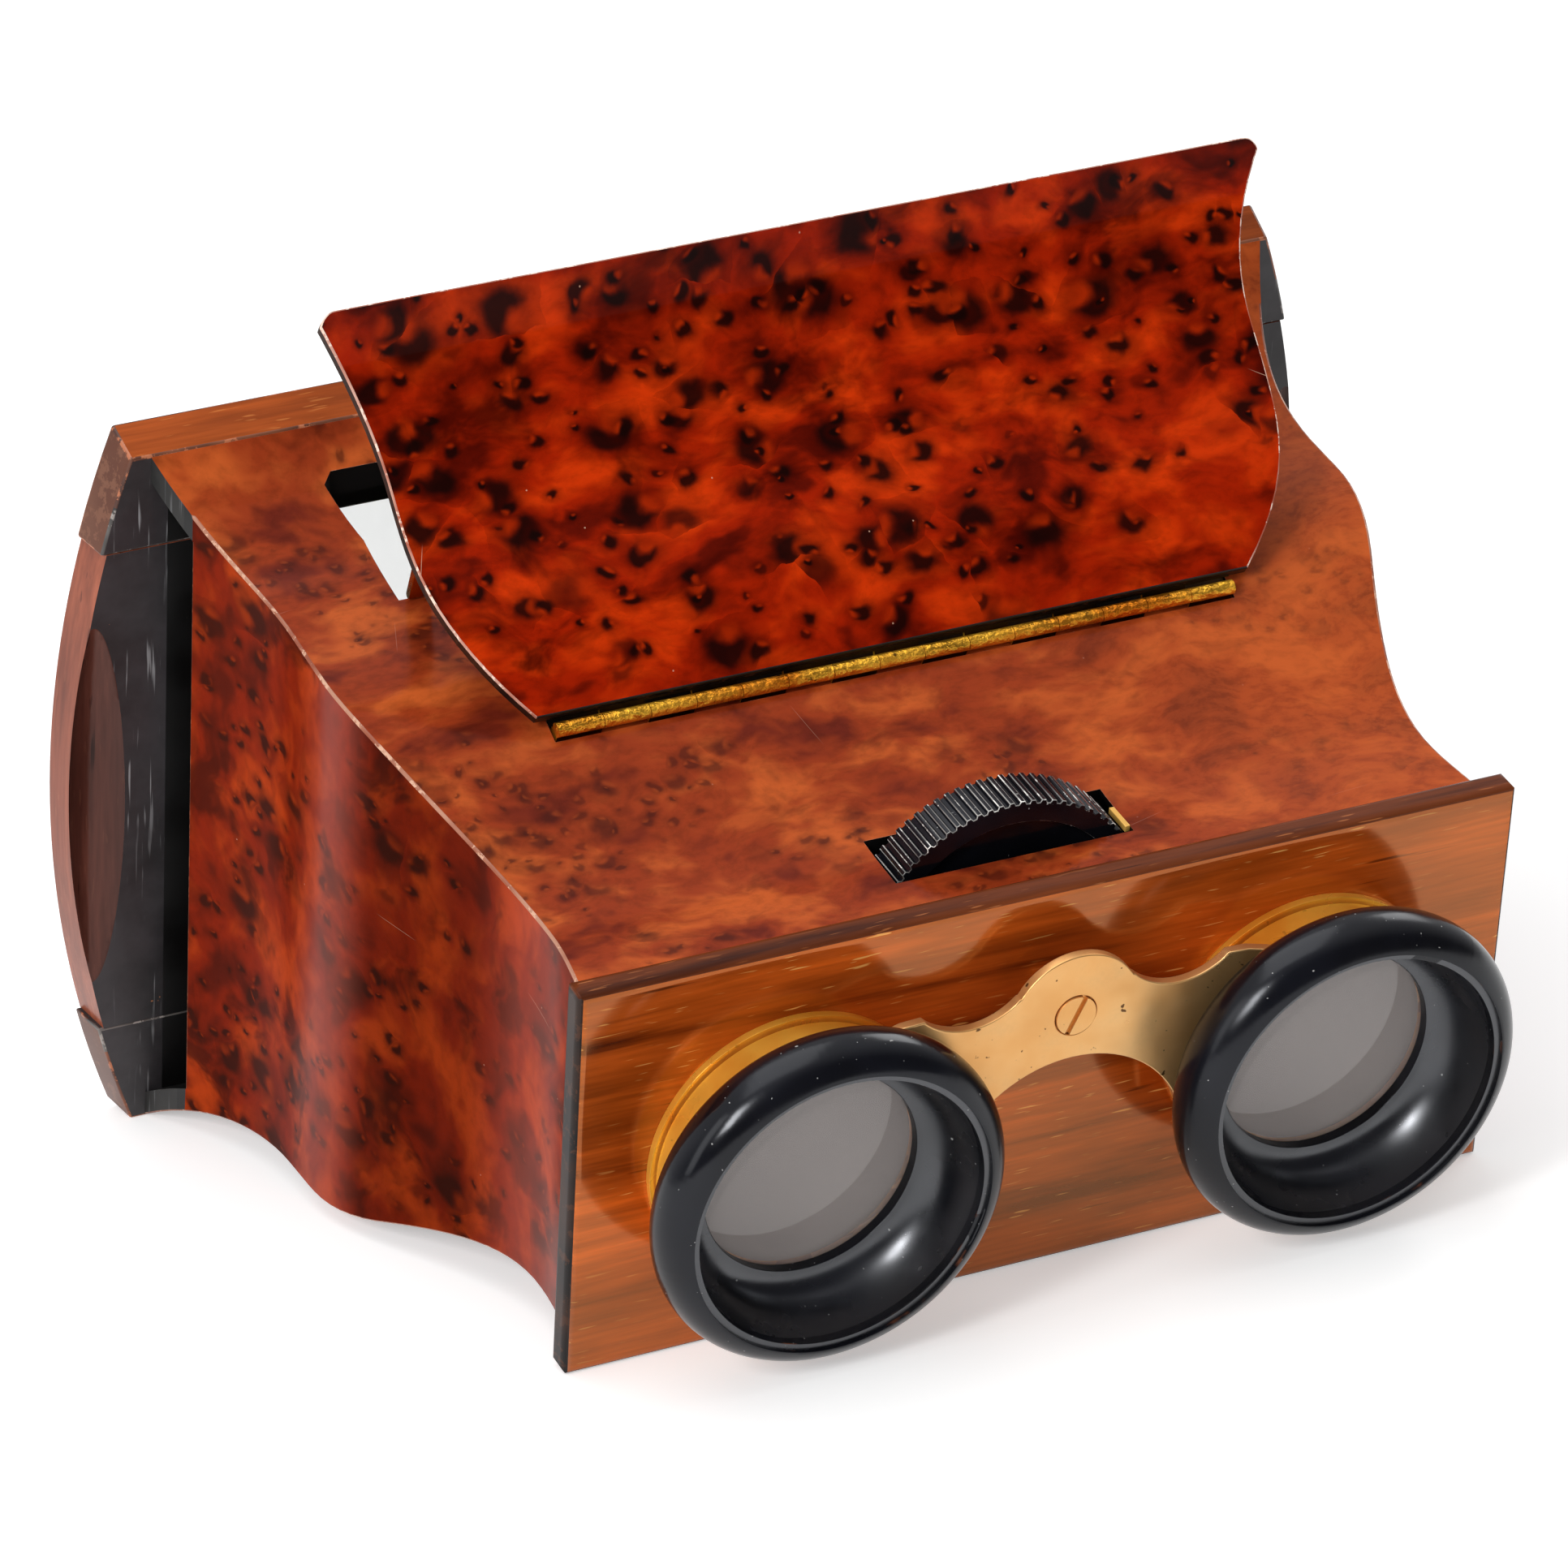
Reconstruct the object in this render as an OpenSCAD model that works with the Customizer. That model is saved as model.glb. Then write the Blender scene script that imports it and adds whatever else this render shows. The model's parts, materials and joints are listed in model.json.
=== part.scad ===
// Hand stereoscope with focusing eyepieces, a hinged top lid and a slide slot at the rear.
// It is drawn about its optical axis: X to the right, Y from the lens board to the rear, Z up.
// stand() then tips it onto the two edges that it rests on, with the table at Z = 0.

/* [Lens board] */
// Width of the lens board
board_w = 141; // [130:1:160]
// Height of the lens board
board_h = 62.2; // [58:0.2:70]
// Thickness of the lens board
board_t = 4.6; // [3.8:0.1:6]
// Radius that rounds the edges of the lens board
board_round = 1.4; // [0.6:0.1:1.8]

/* [Body] */
// Depth from the face of the lens board to the back of the rear frame
overall_depth = 117.1; // [112:0.5:130]
// Thickness of the top, bottom and side panels
wall_t = 4; // [3:0.25:5]
// Width of the body where its sides swell
swell_w = 157.2; // [150:0.5:164]
// Width of the body at the rear frame
rear_w = 173.6; // [168:0.5:175]
// Height of the top above the optical axis at the neck behind the lens board
neck_top = 28.4; // [27.5:0.1:29.2]
// Height of the top above the optical axis at the swell
swell_top = 41.2; // [40:0.2:43]
// Height of the top above the optical axis at the rear frame
rear_top = 54.6; // [53:0.2:56]
// Depth of the bottom below the optical axis at the neck
neck_drop = 28.8; // [27.5:0.1:29.2]
// Depth of the bottom below the optical axis at the swell
swell_drop = 43.4; // [41:0.2:44.5]
// Depth of the bottom below the optical axis at the rear frame
rear_drop = 56.8; // [54:0.2:57]
// Thickness of the board that divides the two halves
septum_t = 2.4; // [1.6:0.2:4]

/* [Rear frame] */
// Width across the bowed stiles of the rear frame, at its back
frame_w = 196.6; // [190:0.2:206]
// Height of the rear frame
frame_h = 114; // [114:0.5:120]
// Thickness of the rear frame
frame_t = 6.4; // [5.6:0.2:8]
// Radius of the bowed ends
frame_bow_r = 170; // [140:2:220]
// Distance that the bowed ends draw in from the back of the frame to its front
frame_draft = 1.1; // [0:0.1:2]
// Distance that the top of the frame falls from its back to its front
frame_slope = 2.2; // [0:0.1:3]
// Distance that the frame stands to the left of the middle of the lens board
frame_shift = 0.9; // [0:0.1:2]
// Width of the window
window_w = 150; // [140:1:154]
// Height of the window
window_h = 80; // [74:1:84]
// Gap between the side panels and the rear frame that a slide goes through
slide_gap = 7.5; // [6:0.1:10]
// Thickness of the ground glass
glass_t = 2; // [1.5:0.1:2.4]

/* [Lid] */
// Angle that the lid stands open
lid_open = 35.8; // [20:0.1:45]
// Thickness of the lid
lid_t = 1.6; // [1.4:0.1:2.4]
// Width of the lid at its hinged edge
lid_front_w = 109; // [107:0.5:114]
// Width of the lid at its free edge
lid_rear_w = 145.2; // [138:0.5:150]
// Width of the light opening at its front edge
opening_front_w = 119.2; // [112:0.4:122]
// Width of the light opening at its rear edge
opening_rear_w = 127.2; // [120:0.4:130]
// Distance from the lens board face to the front edge of the light opening
opening_front_y = 82.3; // [81:0.1:84]
// Number of knuckles on the lid hinge
knuckles = 15; // [9:2:21]
// Radius of the hinge knuckles
knuckle_r = 1.05; // [0.95:0.05:1.1]

/* [Focusing] */
// Distance from a lens axis to the nearer end of the lens board
lens_inset = 31.5; // [29:0.5:33]
// Outer radius of the draw tubes
tube_r = 17.65; // [16.8:0.05:18]
// Height of the focusing spindle above the optical axis
spindle_z = 15.2; // [14.8:0.1:15.6]
// Radius of the focusing spindle
spindle_r = 3; // [2.4:0.1:3.6]
// Radius of the focusing wheel over its ridges
wheel_r = 21; // [20.4:0.1:21.4]
// Width of the focusing wheel
wheel_w = 7.2; // [6:0.2:7.6]
// Number of ridges round the wheel
ridges = 80; // [60:2:100]
// Distance that the eyepieces move out
focus_travel = 9; // [6:0.5:9]

/* [Eyecups] */
// Outer radius of an eyecup
cup_r = 25.6; // [24.6:0.1:27]
// Distance from the lens board face to the front of an eyecup
cup_front = 18.7; // [17.4:0.1:21]
// Radius of the rounded lip
lip_r = 5.5; // [5:0.1:5.8]
// Free radius in front of the lens
cup_in_r = 15.7; // [14.6:0.1:16]
// Radius of curvature of the lens faces
lens_curve_r = 110; // [90:5:200]

/* [Hidden] */
// Distance between the two lens axes
lens_spacing = board_w - 2 * lens_inset;
// Clearance of a running fit, on the radius
fit_gap = 0.05;
// Clearance between faces that move past each other
move_gap = 0.3;
// Small clearance between a piece and the seat that holds it
seat_gap = 0.02;
// Extra length that lets a cut pass through a face
cut = 1;
// Overlap that joins two solids into one
weld = 0.1;
// Space past the end or round the head of a screw
screw_room = 0.1;
round_fn = 96;

// Stations along the body, from the lens board face
neck_y = 18;
shoulder_y = 52;
swell_y = 68;
waist_y = 79;
rear_y = overall_depth - frame_t;
side_end_y = rear_y - slide_gap;
steps = 44;

// Half width of the body, as [distance, half width, slope] at each station
board_margin = 4;
neck_half = board_w / 2 - board_margin;
shoulder_share = 0.72;
plan_line = [
    [board_t, neck_half + 1.5, -0.12],
    [neck_y, neck_half, 0],
    [shoulder_y, neck_half + shoulder_share * (swell_w / 2 - neck_half), 0.39],
    [swell_y, swell_w / 2, 0],
    [waist_y, swell_w / 2 - 0.2, 0],
    [rear_y, rear_w / 2, 0.47]
];
// Height of the top and depth of the bottom, in the same form
top_line = [
    [board_t, neck_top - 0.3, 0.03],
    [neck_y, neck_top, 0.02],
    [shoulder_y, neck_top + shoulder_share * (swell_top - neck_top), 0.44],
    [swell_y - 2, swell_top, 0.08],
    [waist_y + 1, swell_top + 0.8, 0.12],
    [rear_y, rear_top, 1]
];
bottom_line = [
    [board_t, neck_drop - 1.2, 0.1],
    [neck_y, neck_drop, 0.05],
    [shoulder_y, neck_drop + shoulder_share * (swell_drop - neck_drop), 0.45],
    [swell_y - 2, swell_drop, 0.14],
    [waist_y + 1, swell_drop + 2, 0.17],
    [rear_y, rear_drop, 0.75]
];

// Smooth curve through stations of [distance, value, slope]
function span_of(line, y, i = 0) =
    (i >= len(line) - 2 || y <= line[i + 1][0]) ? i : span_of(line, y, i + 1);
function blend_at(a, b, y) =
    let (run = b[0] - a[0], u = (y - a[0]) / run)
    (1 - 3 * u * u + 2 * u * u * u) * a[1]
    + (u - 2 * u * u + u * u * u) * run * a[2]
    + (3 * u * u - 2 * u * u * u) * b[1]
    + (u * u * u - u * u) * run * b[2];
function curve_at(line, y) =
    let (i = span_of(line, y)) blend_at(line[i], line[i + 1], y);
function stations(y0, y1, n) = [for (i = [0 : n]) y0 + (y1 - y0) * i / n];
body_ys = stations(board_t, rear_y, steps);

// Tilt at which the lower edges of the lens board and of the rear frame touch the table
edge_centre_z = board_h / 2 - board_round;
rest_span = [rear_y - board_round, frame_h / 2 - edge_centre_z];
rest_tilt = atan2(rest_span[1], rest_span[0]) - asin(board_round / norm(rest_span));
rest_lift = edge_centre_z * cos(rest_tilt) + board_round - board_round * sin(rest_tilt);
lip_centre_r = cup_r - lip_r;
lip_centre_h = cup_front - lip_r;
stand_front = -lip_centre_h * cos(rest_tilt) - lip_centre_r * sin(rest_tilt) - lip_r;
stand_rear = overall_depth * cos(rest_tilt) + frame_h / 2 * sin(rest_tilt);
stand_shift = -(stand_front + stand_rear) / 2;

// Rear frame
bow_centre = frame_bow_r - frame_w / 2;
end_step = 0.8;
rebate_w = 3;
glass_play = 0.2;
bead_t = 1.2;
rebate_d = glass_t + bead_t;
scoop_half = 30;
scoop_low = 1.5;
scoop_x = frame_w / 2 - 4;
scoop_depth = 2;
scoop_top_r = 7;
scoop_bow_r = scoop_half * scoop_half / (2 * scoop_depth);
stile_out = frame_w / 2 + cut;

// Lid hinge
hinge_y = 50.2;
hinge_lift = 1.32;
hinge_z = curve_at(top_line, hinge_y) + hinge_lift;
hinge_len = 103.8;
knuckle_play = 0.1;
leaf_t = 0.5;
leaf_u0 = 1.5;
leaf_u1 = 6.5;
pocket_gap = 0.2;
leaf_room = wall_t;
web_front = -0.7;
web_rise = 1.2;
web_clear = 0.3;
body_leaf_w = -1.8;
lid_leaf_w = -0.98;
leaf_slope = atan((curve_at(top_line, hinge_y + leaf_u1) - curve_at(top_line, hinge_y + leaf_u0))
    / (leaf_u1 - leaf_u0));
pin_r = 0.5;
hinge_screw_r = 0.6;
hinge_head_r = 1.2;
hinge_screw_u = 4.2;
hinge_screw_xs = [-44, -22, 0, 22, 44];
body_screw_reach = 2.2;
lid_screw_reach = 0.6;

// Lid
lid_front_y = 52;
lid_rear_y = rear_y - 1.2;
lid_corner_r = 2.5;
lid_swell = [[0, 0, 0.95], [8, 6.2, 0.6], [20, 10.7, 0.17], [34, 11.5, 0]];
lid_line = concat(
    [for (p = lid_swell) [lid_front_y + p[0], lid_front_w / 2 + p[1], p[2]]],
    [[lid_rear_y, lid_rear_w / 2, 0.62]]
);
lid_ys = stations(lid_front_y, lid_rear_y, 24);
opening_rear_y = rear_y - 5.3;
opening_corner_r = 1.5;
opening_straight = 5;
mirror_t = 1.2;
mirror_seat = 0.06;
mirror_half_w = 53.5;
mirror_y0 = opening_front_y + 3.2;
mirror_y1 = opening_rear_y - 2.4;
mirror_mid = (mirror_y0 + mirror_y1) / 2;
mirror_reach = 4;
mirror_slope = atan((curve_at(top_line, mirror_mid + mirror_reach)
    - curve_at(top_line, mirror_mid - mirror_reach)) / (2 * mirror_reach));

// Lid prop
prop_t = 1.2;
prop_w = 3.4;
ear_t = 0.6;
ear_gap = 0.15;
ear_half = prop_w / 2 + ear_gap + ear_t;
prop_notch = 1.8;
prop_notch_len = 12.5;
prop_x = -(opening_front_w / 2 + prop_notch - ear_half - 0.4);
prop_pivot_y = opening_front_y + 2;
prop_pivot_drop = 1.7;
prop_pin_r = 0.5;
prop_eye_r = 1.1;
foot_gap = 0.2;
prop_back = 0.3;
pivot_closed = [prop_pivot_y, curve_at(top_line, prop_pivot_y) + move_gap - prop_pivot_drop];
pivot_arm = pivot_closed - [hinge_y, hinge_z];
pivot_rest = [
    hinge_y + pivot_arm[0] * cos(lid_open) - pivot_arm[1] * sin(lid_open),
    hinge_z + pivot_arm[0] * sin(lid_open) + pivot_arm[1] * cos(lid_open)
];
foot_y = opening_front_y - prop_back;
foot_rest = [foot_y, curve_at(top_line, foot_y) + foot_gap + prop_t / 2];
prop_vector = foot_rest - pivot_rest;
prop_len = norm(prop_vector);
prop_angle = atan2(prop_vector[1], prop_vector[0]);

// Focusing wheel
wheel_y0 = 14.3;
wheel_slot_y0 = wheel_y0 - 1.3;
wheel_slot_y1 = wheel_y0 + wheel_w + 1.7;
wheel_slot_half = 18;
wheel_room = 1;
ridge_depth = 0.5;
// One ridge, as [share of the pitch, share of the depth]
ridge_shape = [[0, 0], [0.42, 0], [0.56, 1], [0.86, 1]];
recess_r = wheel_r - 3.4;
recess_d = 1;
hub_r = 7;
journal_r = 4.5;
bracket_t = 1.6;
bracket_w = 14;
bracket_y1 = wheel_y0 + wheel_w + 3.1;
journal_gap = 0.2;
bracket_z0 = spindle_z - wheel_r - 3.4;
bracket_top = spindle_z + 6.8;
bracket_screw_z = bracket_z0 + 4.6;
bracket_screw_r = 1.2;
bracket_head_r = 2.2;
bracket_head_t = 1.2;
bracket_screw_in = 3.4;
foot_clear = 2.75;
foot_margin = 3.5;
strip_y0 = wheel_y0 - 0.3;
strip_len = 5;
strip_w = 0.8;
strip_t = 1;
strip_z1 = curve_at(top_line, wheel_slot_y0) + 0.2;

// Eyepieces
tube_wall = 0.75;
tube_front = 7.4;
tube_rear = 16;
plate_front = 7.1;
plate_t = 1.6;
collar_r = tube_r + 2.25;
collar_rear = 1.6;
sleeve_wall = 1.2;
sleeve_flange_r = tube_r + 2.95;
sleeve_flange_t = 1.2;
sleeve_rear = 9;
nut_r = tube_r + 4.6;
nut_t = 2.2;
bracket_foot_w = lens_spacing - 2 * (nut_r + foot_clear);
bracket_screw_x = bracket_foot_w / 2 - foot_margin;
sleeve_r = tube_r + fit_gap + sleeve_wall;
lens_r = tube_r - tube_wall - 0.1;
lens_edge = 2.06;
lens_mid = 5.1;
lens_touch = 0.03;
shoulder_in_r = lens_r - 1;
shoulder_t = 1;
function lens_face(r) =
    lens_edge / 2 + sqrt(lens_curve_r * lens_curve_r - r * r)
    - sqrt(lens_curve_r * lens_curve_r - lens_r * lens_r);
nose_h = lens_mid + lens_face(cup_in_r) + lens_touch;
shoulder_h = lens_mid - lens_face(shoulder_in_r) - lens_touch;
ledge_h = tube_front + 0.6;
bowl_r = cup_r - 4.7;
bowl_h = cup_front - 1.1;
step_r = cup_r - 3.75;
step_h = cup_front - 0.9;
cup_back_r = cup_r - 4.6;
cup_back_cove = [2, 1.5];

// Bridge
boss_r = 9.6;
fillet_x = lens_spacing / 2 - collar_r - 3.3;
fillet_low = 1.6;
fillet_r = (fillet_x * fillet_x + fillet_low * fillet_low - boss_r * boss_r)
    / (2 * (boss_r - fillet_low));
fillet_z = spindle_z + fillet_low + fillet_r;
arch_gap = 1.1;
arch_drop = 6.9;
arch_r = lens_spacing / 2 - collar_r - arch_gap;
arch_z = spindle_z - arch_drop - arch_r;
bridge_end_x = lens_spacing / 2 - 8;
bridge_top_z = spindle_z + 4.6;
spindle_hole_gap = 0.4;
arch_end_drop = 2.3;
// Shoulder of the bridge beside a ring, as [distance inwards, distance down]
bridge_shoulder = [[0, 1.6], [5, 0.2], [9, 0]];
bridge_screw_r = 1.5;
screw_head_r = 3;
screw_head_t = 1.2;
screw_proud = 0.2;
screw_slot_w = 0.7;
screw_slot_d = 0.6;
screw_slot_turn = 65;
spindle_head_r = 4.5;
spindle_head_t = 1.5;
screw_in = 8;
spindle_rear = bracket_y1 + focus_travel + 1.4;

// Tips the instrument from its optical axis to the way it stands on a table
module stand() {
    translate([0, stand_shift, rest_lift]) rotate([rest_tilt, 0, 0]) children();
}

// Swings lid pieces from closed to the angle at which the lid stands open
module swing_open() {
    translate([0, hinge_y, hinge_z]) rotate([lid_open, 0, 0]) translate([0, -hinge_y, -hinge_z])
        children();
}

// Frame at the hinge axis with the lid closed, its Y along the top surface
module hinge_frame() {
    translate([0, hinge_y, hinge_z]) rotate([leaf_slope, 0, 0]) children();
}

// Band between two heights over a curve, as wide as asked; side is 1 for the top, -1 below
module curved_band(line, ys, low, high, width, side = 1) {
    rotate([90, 0, 90]) linear_extrude(height = width, center = true)
        polygon(concat(
            [for (y = ys) [y, side * (curve_at(line, y) + high)]],
            [for (i = [len(ys) - 1 : -1 : 0]) [ys[i], side * (curve_at(line, ys[i]) + low)]]
        ));
}

// Upright prism of the body's plan, drawn in by inset
module plan_prism(inset) {
    tall = frame_h + 2 * cut;
    translate([0, 0, -tall / 2]) linear_extrude(height = tall)
        polygon(concat(
            [for (y = body_ys) [curve_at(plan_line, y) - inset, y]],
            [for (i = [len(body_ys) - 1 : -1 : 0])
                [inset - curve_at(plan_line, body_ys[i]), body_ys[i]]]
        ));
}

// Round bar along the optical axis
module bar(r, y0, y1, x = 0, z = 0) {
    translate([x, y1, z]) rotate([90, 0, 0]) cylinder(r = r, h = y1 - y0, $fn = round_fn);
}

// Turned piece about an axis along Y; its outline is [radius, distance in front of the board]
module turned(x, z = 0) {
    translate([x, 0, z]) rotate([90, 0, 0]) rotate_extrude($fn = round_fn) children();
}

// Flat shape in the X-Z plane, given thickness from y0 to y1
module plate(y0, y1) {
    translate([0, y1, 0]) rotate([90, 0, 0]) linear_extrude(height = y1 - y0) children();
}

module rounded_rectangle(w, h, r) {
    union() {
        square([w - 2 * r, h], center = true);
        square([w, h - 2 * r], center = true);
        for (sx = [-1, 1], sz = [-1, 1])
            translate([sx * (w / 2 - r), sz * (h / 2 - r)]) circle(r = r, $fn = 48);
    }
}

module lens_board() {
    color([0.45, 0.19, 0.09]) stand() difference() {
        intersection() {
            plate(0, board_t) rounded_rectangle(board_w, board_h, board_round);
            translate([0, board_t / 2, -board_h]) linear_extrude(height = 2 * board_h)
                rounded_rectangle(board_w, board_t, board_round);
            translate([-board_w, board_t / 2, 0]) rotate([90, 0, 90])
                linear_extrude(height = 2 * board_w)
                    rounded_rectangle(board_t, board_h, board_round);
        }
        for (sx = [-1, 1])
            bar(sleeve_r + seat_gap, -cut, board_t + cut, sx * lens_spacing / 2);
        bar(spindle_r + spindle_hole_gap, -cut, board_t + cut, 0, spindle_z);
        for (sx = [-1, 1])
            bar(bracket_screw_r, board_t - bracket_screw_in, board_t + cut,
                sx * bracket_screw_x, bracket_screw_z);
    }
}

// Prism of the light opening in the top, with a notch that the prop folds into
module light_opening() {
    r = opening_corner_r;
    linear_extrude(height = frame_h) polygon([
        [-opening_front_w / 2, opening_front_y], [opening_front_w / 2, opening_front_y],
        [opening_front_w / 2, opening_front_y + opening_straight],
        [opening_rear_w / 2, opening_rear_y - r], [opening_rear_w / 2 - r, opening_rear_y],
        [r - opening_rear_w / 2, opening_rear_y], [-opening_rear_w / 2, opening_rear_y - r],
        [-opening_front_w / 2, opening_front_y + opening_straight]
    ]);
    translate([-opening_front_w / 2 - prop_notch, opening_front_y, 0])
        cube([opening_front_w / 2, prop_notch_len, frame_h]);
}

module wheel_slot() {
    tall = 4 * wall_t;
    translate([-wheel_slot_half, wheel_slot_y0, neck_top - tall / 2])
        cube([2 * wheel_slot_half, wheel_slot_y1 - wheel_slot_y0, tall]);
    bar(wheel_r + wheel_room, wheel_slot_y0, wheel_slot_y1, 0, spindle_z);
}

module top_panel() {
    color([0.55, 0.2, 0.1]) stand() difference() {
        intersection() {
            curved_band(top_line, body_ys, -wall_t, 0, 2 * frame_w);
            plan_prism(0);
        }
        wheel_slot();
        light_opening();
        hinge_frame() translate([-hinge_len / 2 - pocket_gap, -knuckle_r, body_leaf_w])
            cube([hinge_len + 2 * pocket_gap, leaf_u1 + knuckle_r + pocket_gap, leaf_room]);
        hinge_frame() for (x = hinge_screw_xs)
            translate([x, hinge_screw_u, body_leaf_w - body_screw_reach - screw_room])
                cylinder(r = hinge_screw_r, h = body_screw_reach + cut, $fn = 24);
    }
}

module bottom_panel() {
    color([0.5, 0.15, 0.07]) stand() intersection() {
        curved_band(bottom_line, body_ys, -wall_t, 0, 2 * frame_w, -1);
        plan_prism(0);
    }
}

// Space between the top and bottom panels, up to the rear ends of the sides
module between_panels() {
    intersection() {
        curved_band(top_line, body_ys, -2 * frame_h, -wall_t, 2 * frame_w);
        curved_band(bottom_line, body_ys, -2 * frame_h, -wall_t, 2 * frame_w, -1);
        translate([-frame_w, board_t, -frame_h]) cube([2 * frame_w, side_end_y - board_t, 2 * frame_h]);
    }
}

module side_panel(side) {
    intersection() {
        between_panels();
        difference() {
            plan_prism(0);
            plan_prism(wall_t);
        }
        translate([side > 0 ? 0 : -frame_w, 0, -frame_h]) cube([frame_w, rear_y, 2 * frame_h]);
    }
}

module left_side() {
    color([0.5, 0.13, 0.05]) stand() side_panel(-1);
}

module right_side() {
    color([0.5, 0.13, 0.05]) stand() side_panel(1);
}

// The dividing board starts behind the end of the focusing spindle
module septum() {
    color([0.1, 0.09, 0.08]) stand() intersection() {
        between_panels();
        translate([-septum_t / 2, spindle_rear + 2, -frame_h])
            cube([septum_t, side_end_y - spindle_rear - 2, 2 * frame_h]);
    }
}

// Places a piece of the rear frame, which stands a little to the left
module on_frame() {
    stand() translate([-frame_shift, 0, 0]) children();
}

// Cone whose flank makes the bowed end on one side of the frame
module bow_cone(bow_r, side) {
    translate([side * bow_centre, overall_depth, 0]) rotate([90, 0, 0])
        cylinder(r1 = bow_r, r2 = bow_r - frame_draft, h = frame_t, $fn = 720);
}

// Solid block of the rear frame, its bowed ends set out by proud
module frame_block(proud) {
    bow_r = frame_bow_r + proud;
    intersection() {
        bow_cone(bow_r, 1);
        bow_cone(bow_r, -1);
        translate([-frame_w, 0, 0]) rotate([90, 0, 90]) linear_extrude(height = 2 * frame_w)
            polygon([
                [rear_y, -frame_h / 2], [overall_depth, -frame_h / 2],
                [overall_depth, frame_h / 2], [rear_y, frame_h / 2 - frame_slope]
            ]);
    }
}

module glass_rebate() {
    translate([-window_w / 2 - rebate_w, overall_depth - rebate_d, -window_h / 2 - rebate_w])
        cube([window_w + 2 * rebate_w, rebate_d + cut, window_h + 2 * rebate_w]);
}

module frame_rail(side) {
    rail_h = (frame_h - window_h) / 2;
    difference() {
        intersection() {
            frame_block(end_step);
            translate([-frame_w, rear_y - cut, side > 0 ? window_h / 2 : -frame_h / 2])
                cube([2 * frame_w, frame_t + 2 * cut, rail_h]);
        }
        glass_rebate();
    }
}

module rear_top_rail() {
    color([0.42, 0.2, 0.1]) on_frame() frame_rail(1);
}

module rear_bottom_rail() {
    color([0.42, 0.2, 0.1]) on_frame() frame_rail(-1);
}

// Hollow for a finger in the front face of a stile
module finger_scoop(side) {
    translate([side * scoop_x, rear_y - scoop_top_r + scoop_depth, -scoop_low])
        rotate_extrude($fn = round_fn) intersection() {
            translate([scoop_top_r - scoop_bow_r, 0]) circle(r = scoop_bow_r, $fn = 720);
            translate([0, -2 * scoop_half]) square([scoop_top_r, 4 * scoop_half]);
        }
}

module frame_stile(side) {
    stile_w = stile_out - window_w / 2;
    difference() {
        intersection() {
            frame_block(0);
            translate([side > 0 ? window_w / 2 : -stile_out, rear_y - cut, -window_h / 2])
                cube([stile_w, frame_t + 2 * cut, window_h]);
        }
        glass_rebate();
        finger_scoop(side);
    }
}

module rear_left_stile() {
    color([0.4, 0.17, 0.09]) on_frame() frame_stile(-1);
}

module rear_right_stile() {
    color([0.4, 0.17, 0.09]) on_frame() frame_stile(1);
}

module rear_glass() {
    w = window_w + 2 * rebate_w - 2 * glass_play;
    h = window_h + 2 * rebate_w - 2 * glass_play;
    color([0.9, 0.92, 0.9]) on_frame()
        translate([-w / 2, overall_depth - rebate_d, -h / 2]) cube([w, glass_t, h]);
}

// Four strips that hold the ground glass in its rebate
module glass_beads() {
    out_w = window_w + 2 * rebate_w - glass_play;
    out_h = window_h + 2 * rebate_w - glass_play;
    bead_w = rebate_w - glass_play;
    color([0.35, 0.16, 0.08]) on_frame() {
        for (sz = [-1, 1])
            translate([-out_w / 2, overall_depth - bead_t, sz * (out_h - bead_w) / 2 - bead_w / 2])
                cube([out_w, bead_t, bead_w]);
        for (sx = [-1, 1])
            translate([sx * (out_w - bead_w) / 2 - bead_w / 2, overall_depth - bead_t,
                bead_w + seat_gap - out_h / 2])
                cube([bead_w, bead_t, out_h - 2 * bead_w - 2 * seat_gap]);
    }
}

// Plan of the lid with rounded free corners, as a tall prism
module lid_prism() {
    r = lid_corner_r;
    difference() {
        linear_extrude(height = frame_h) polygon(concat(
            [for (y = lid_ys) [curve_at(lid_line, y), y]],
            [for (i = [len(lid_ys) - 1 : -1 : 0]) [-curve_at(lid_line, lid_ys[i]), lid_ys[i]]]
        ));
        for (sx = [-1, 1]) translate([sx * (lid_rear_w / 2 - 0.7 - r), lid_rear_y - r, -cut])
            difference() {
                translate([sx > 0 ? 0 : -2 * r, 0, 0]) cube([2 * r, r + cut, frame_h + 2 * cut]);
                translate([0, 0, -cut]) cylinder(r = r, h = frame_h + 4 * cut, $fn = 48);
            }
    }
}

module lid() {
    color([0.7, 0.2, 0.05]) stand() swing_open() difference() {
        intersection() {
            curved_band(top_line, lid_ys, move_gap, move_gap + lid_t, 2 * frame_w);
            lid_prism();
        }
        hinge_frame() translate([-hinge_len / 2 - pocket_gap, 0, -leaf_room])
            cube([hinge_len + 2 * pocket_gap, leaf_u1 + pocket_gap, leaf_room + lid_leaf_w + leaf_t]);
        hinge_frame() for (x = hinge_screw_xs) translate([x, hinge_screw_u, lid_leaf_w])
            cylinder(r = hinge_screw_r, h = leaf_t + lid_screw_reach + screw_room, $fn = 24);
    }
}

module lid_mirror() {
    run = (mirror_y1 - mirror_y0) / cos(mirror_slope);
    color([0.8, 0.82, 0.84]) stand() swing_open()
        translate([0, mirror_mid, curve_at(top_line, mirror_mid) + move_gap - mirror_seat])
            rotate([mirror_slope, 0, 0])
                translate([-mirror_half_w, -run / 2, -mirror_t])
                    cube([2 * mirror_half_w, run, mirror_t]);
}

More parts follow.
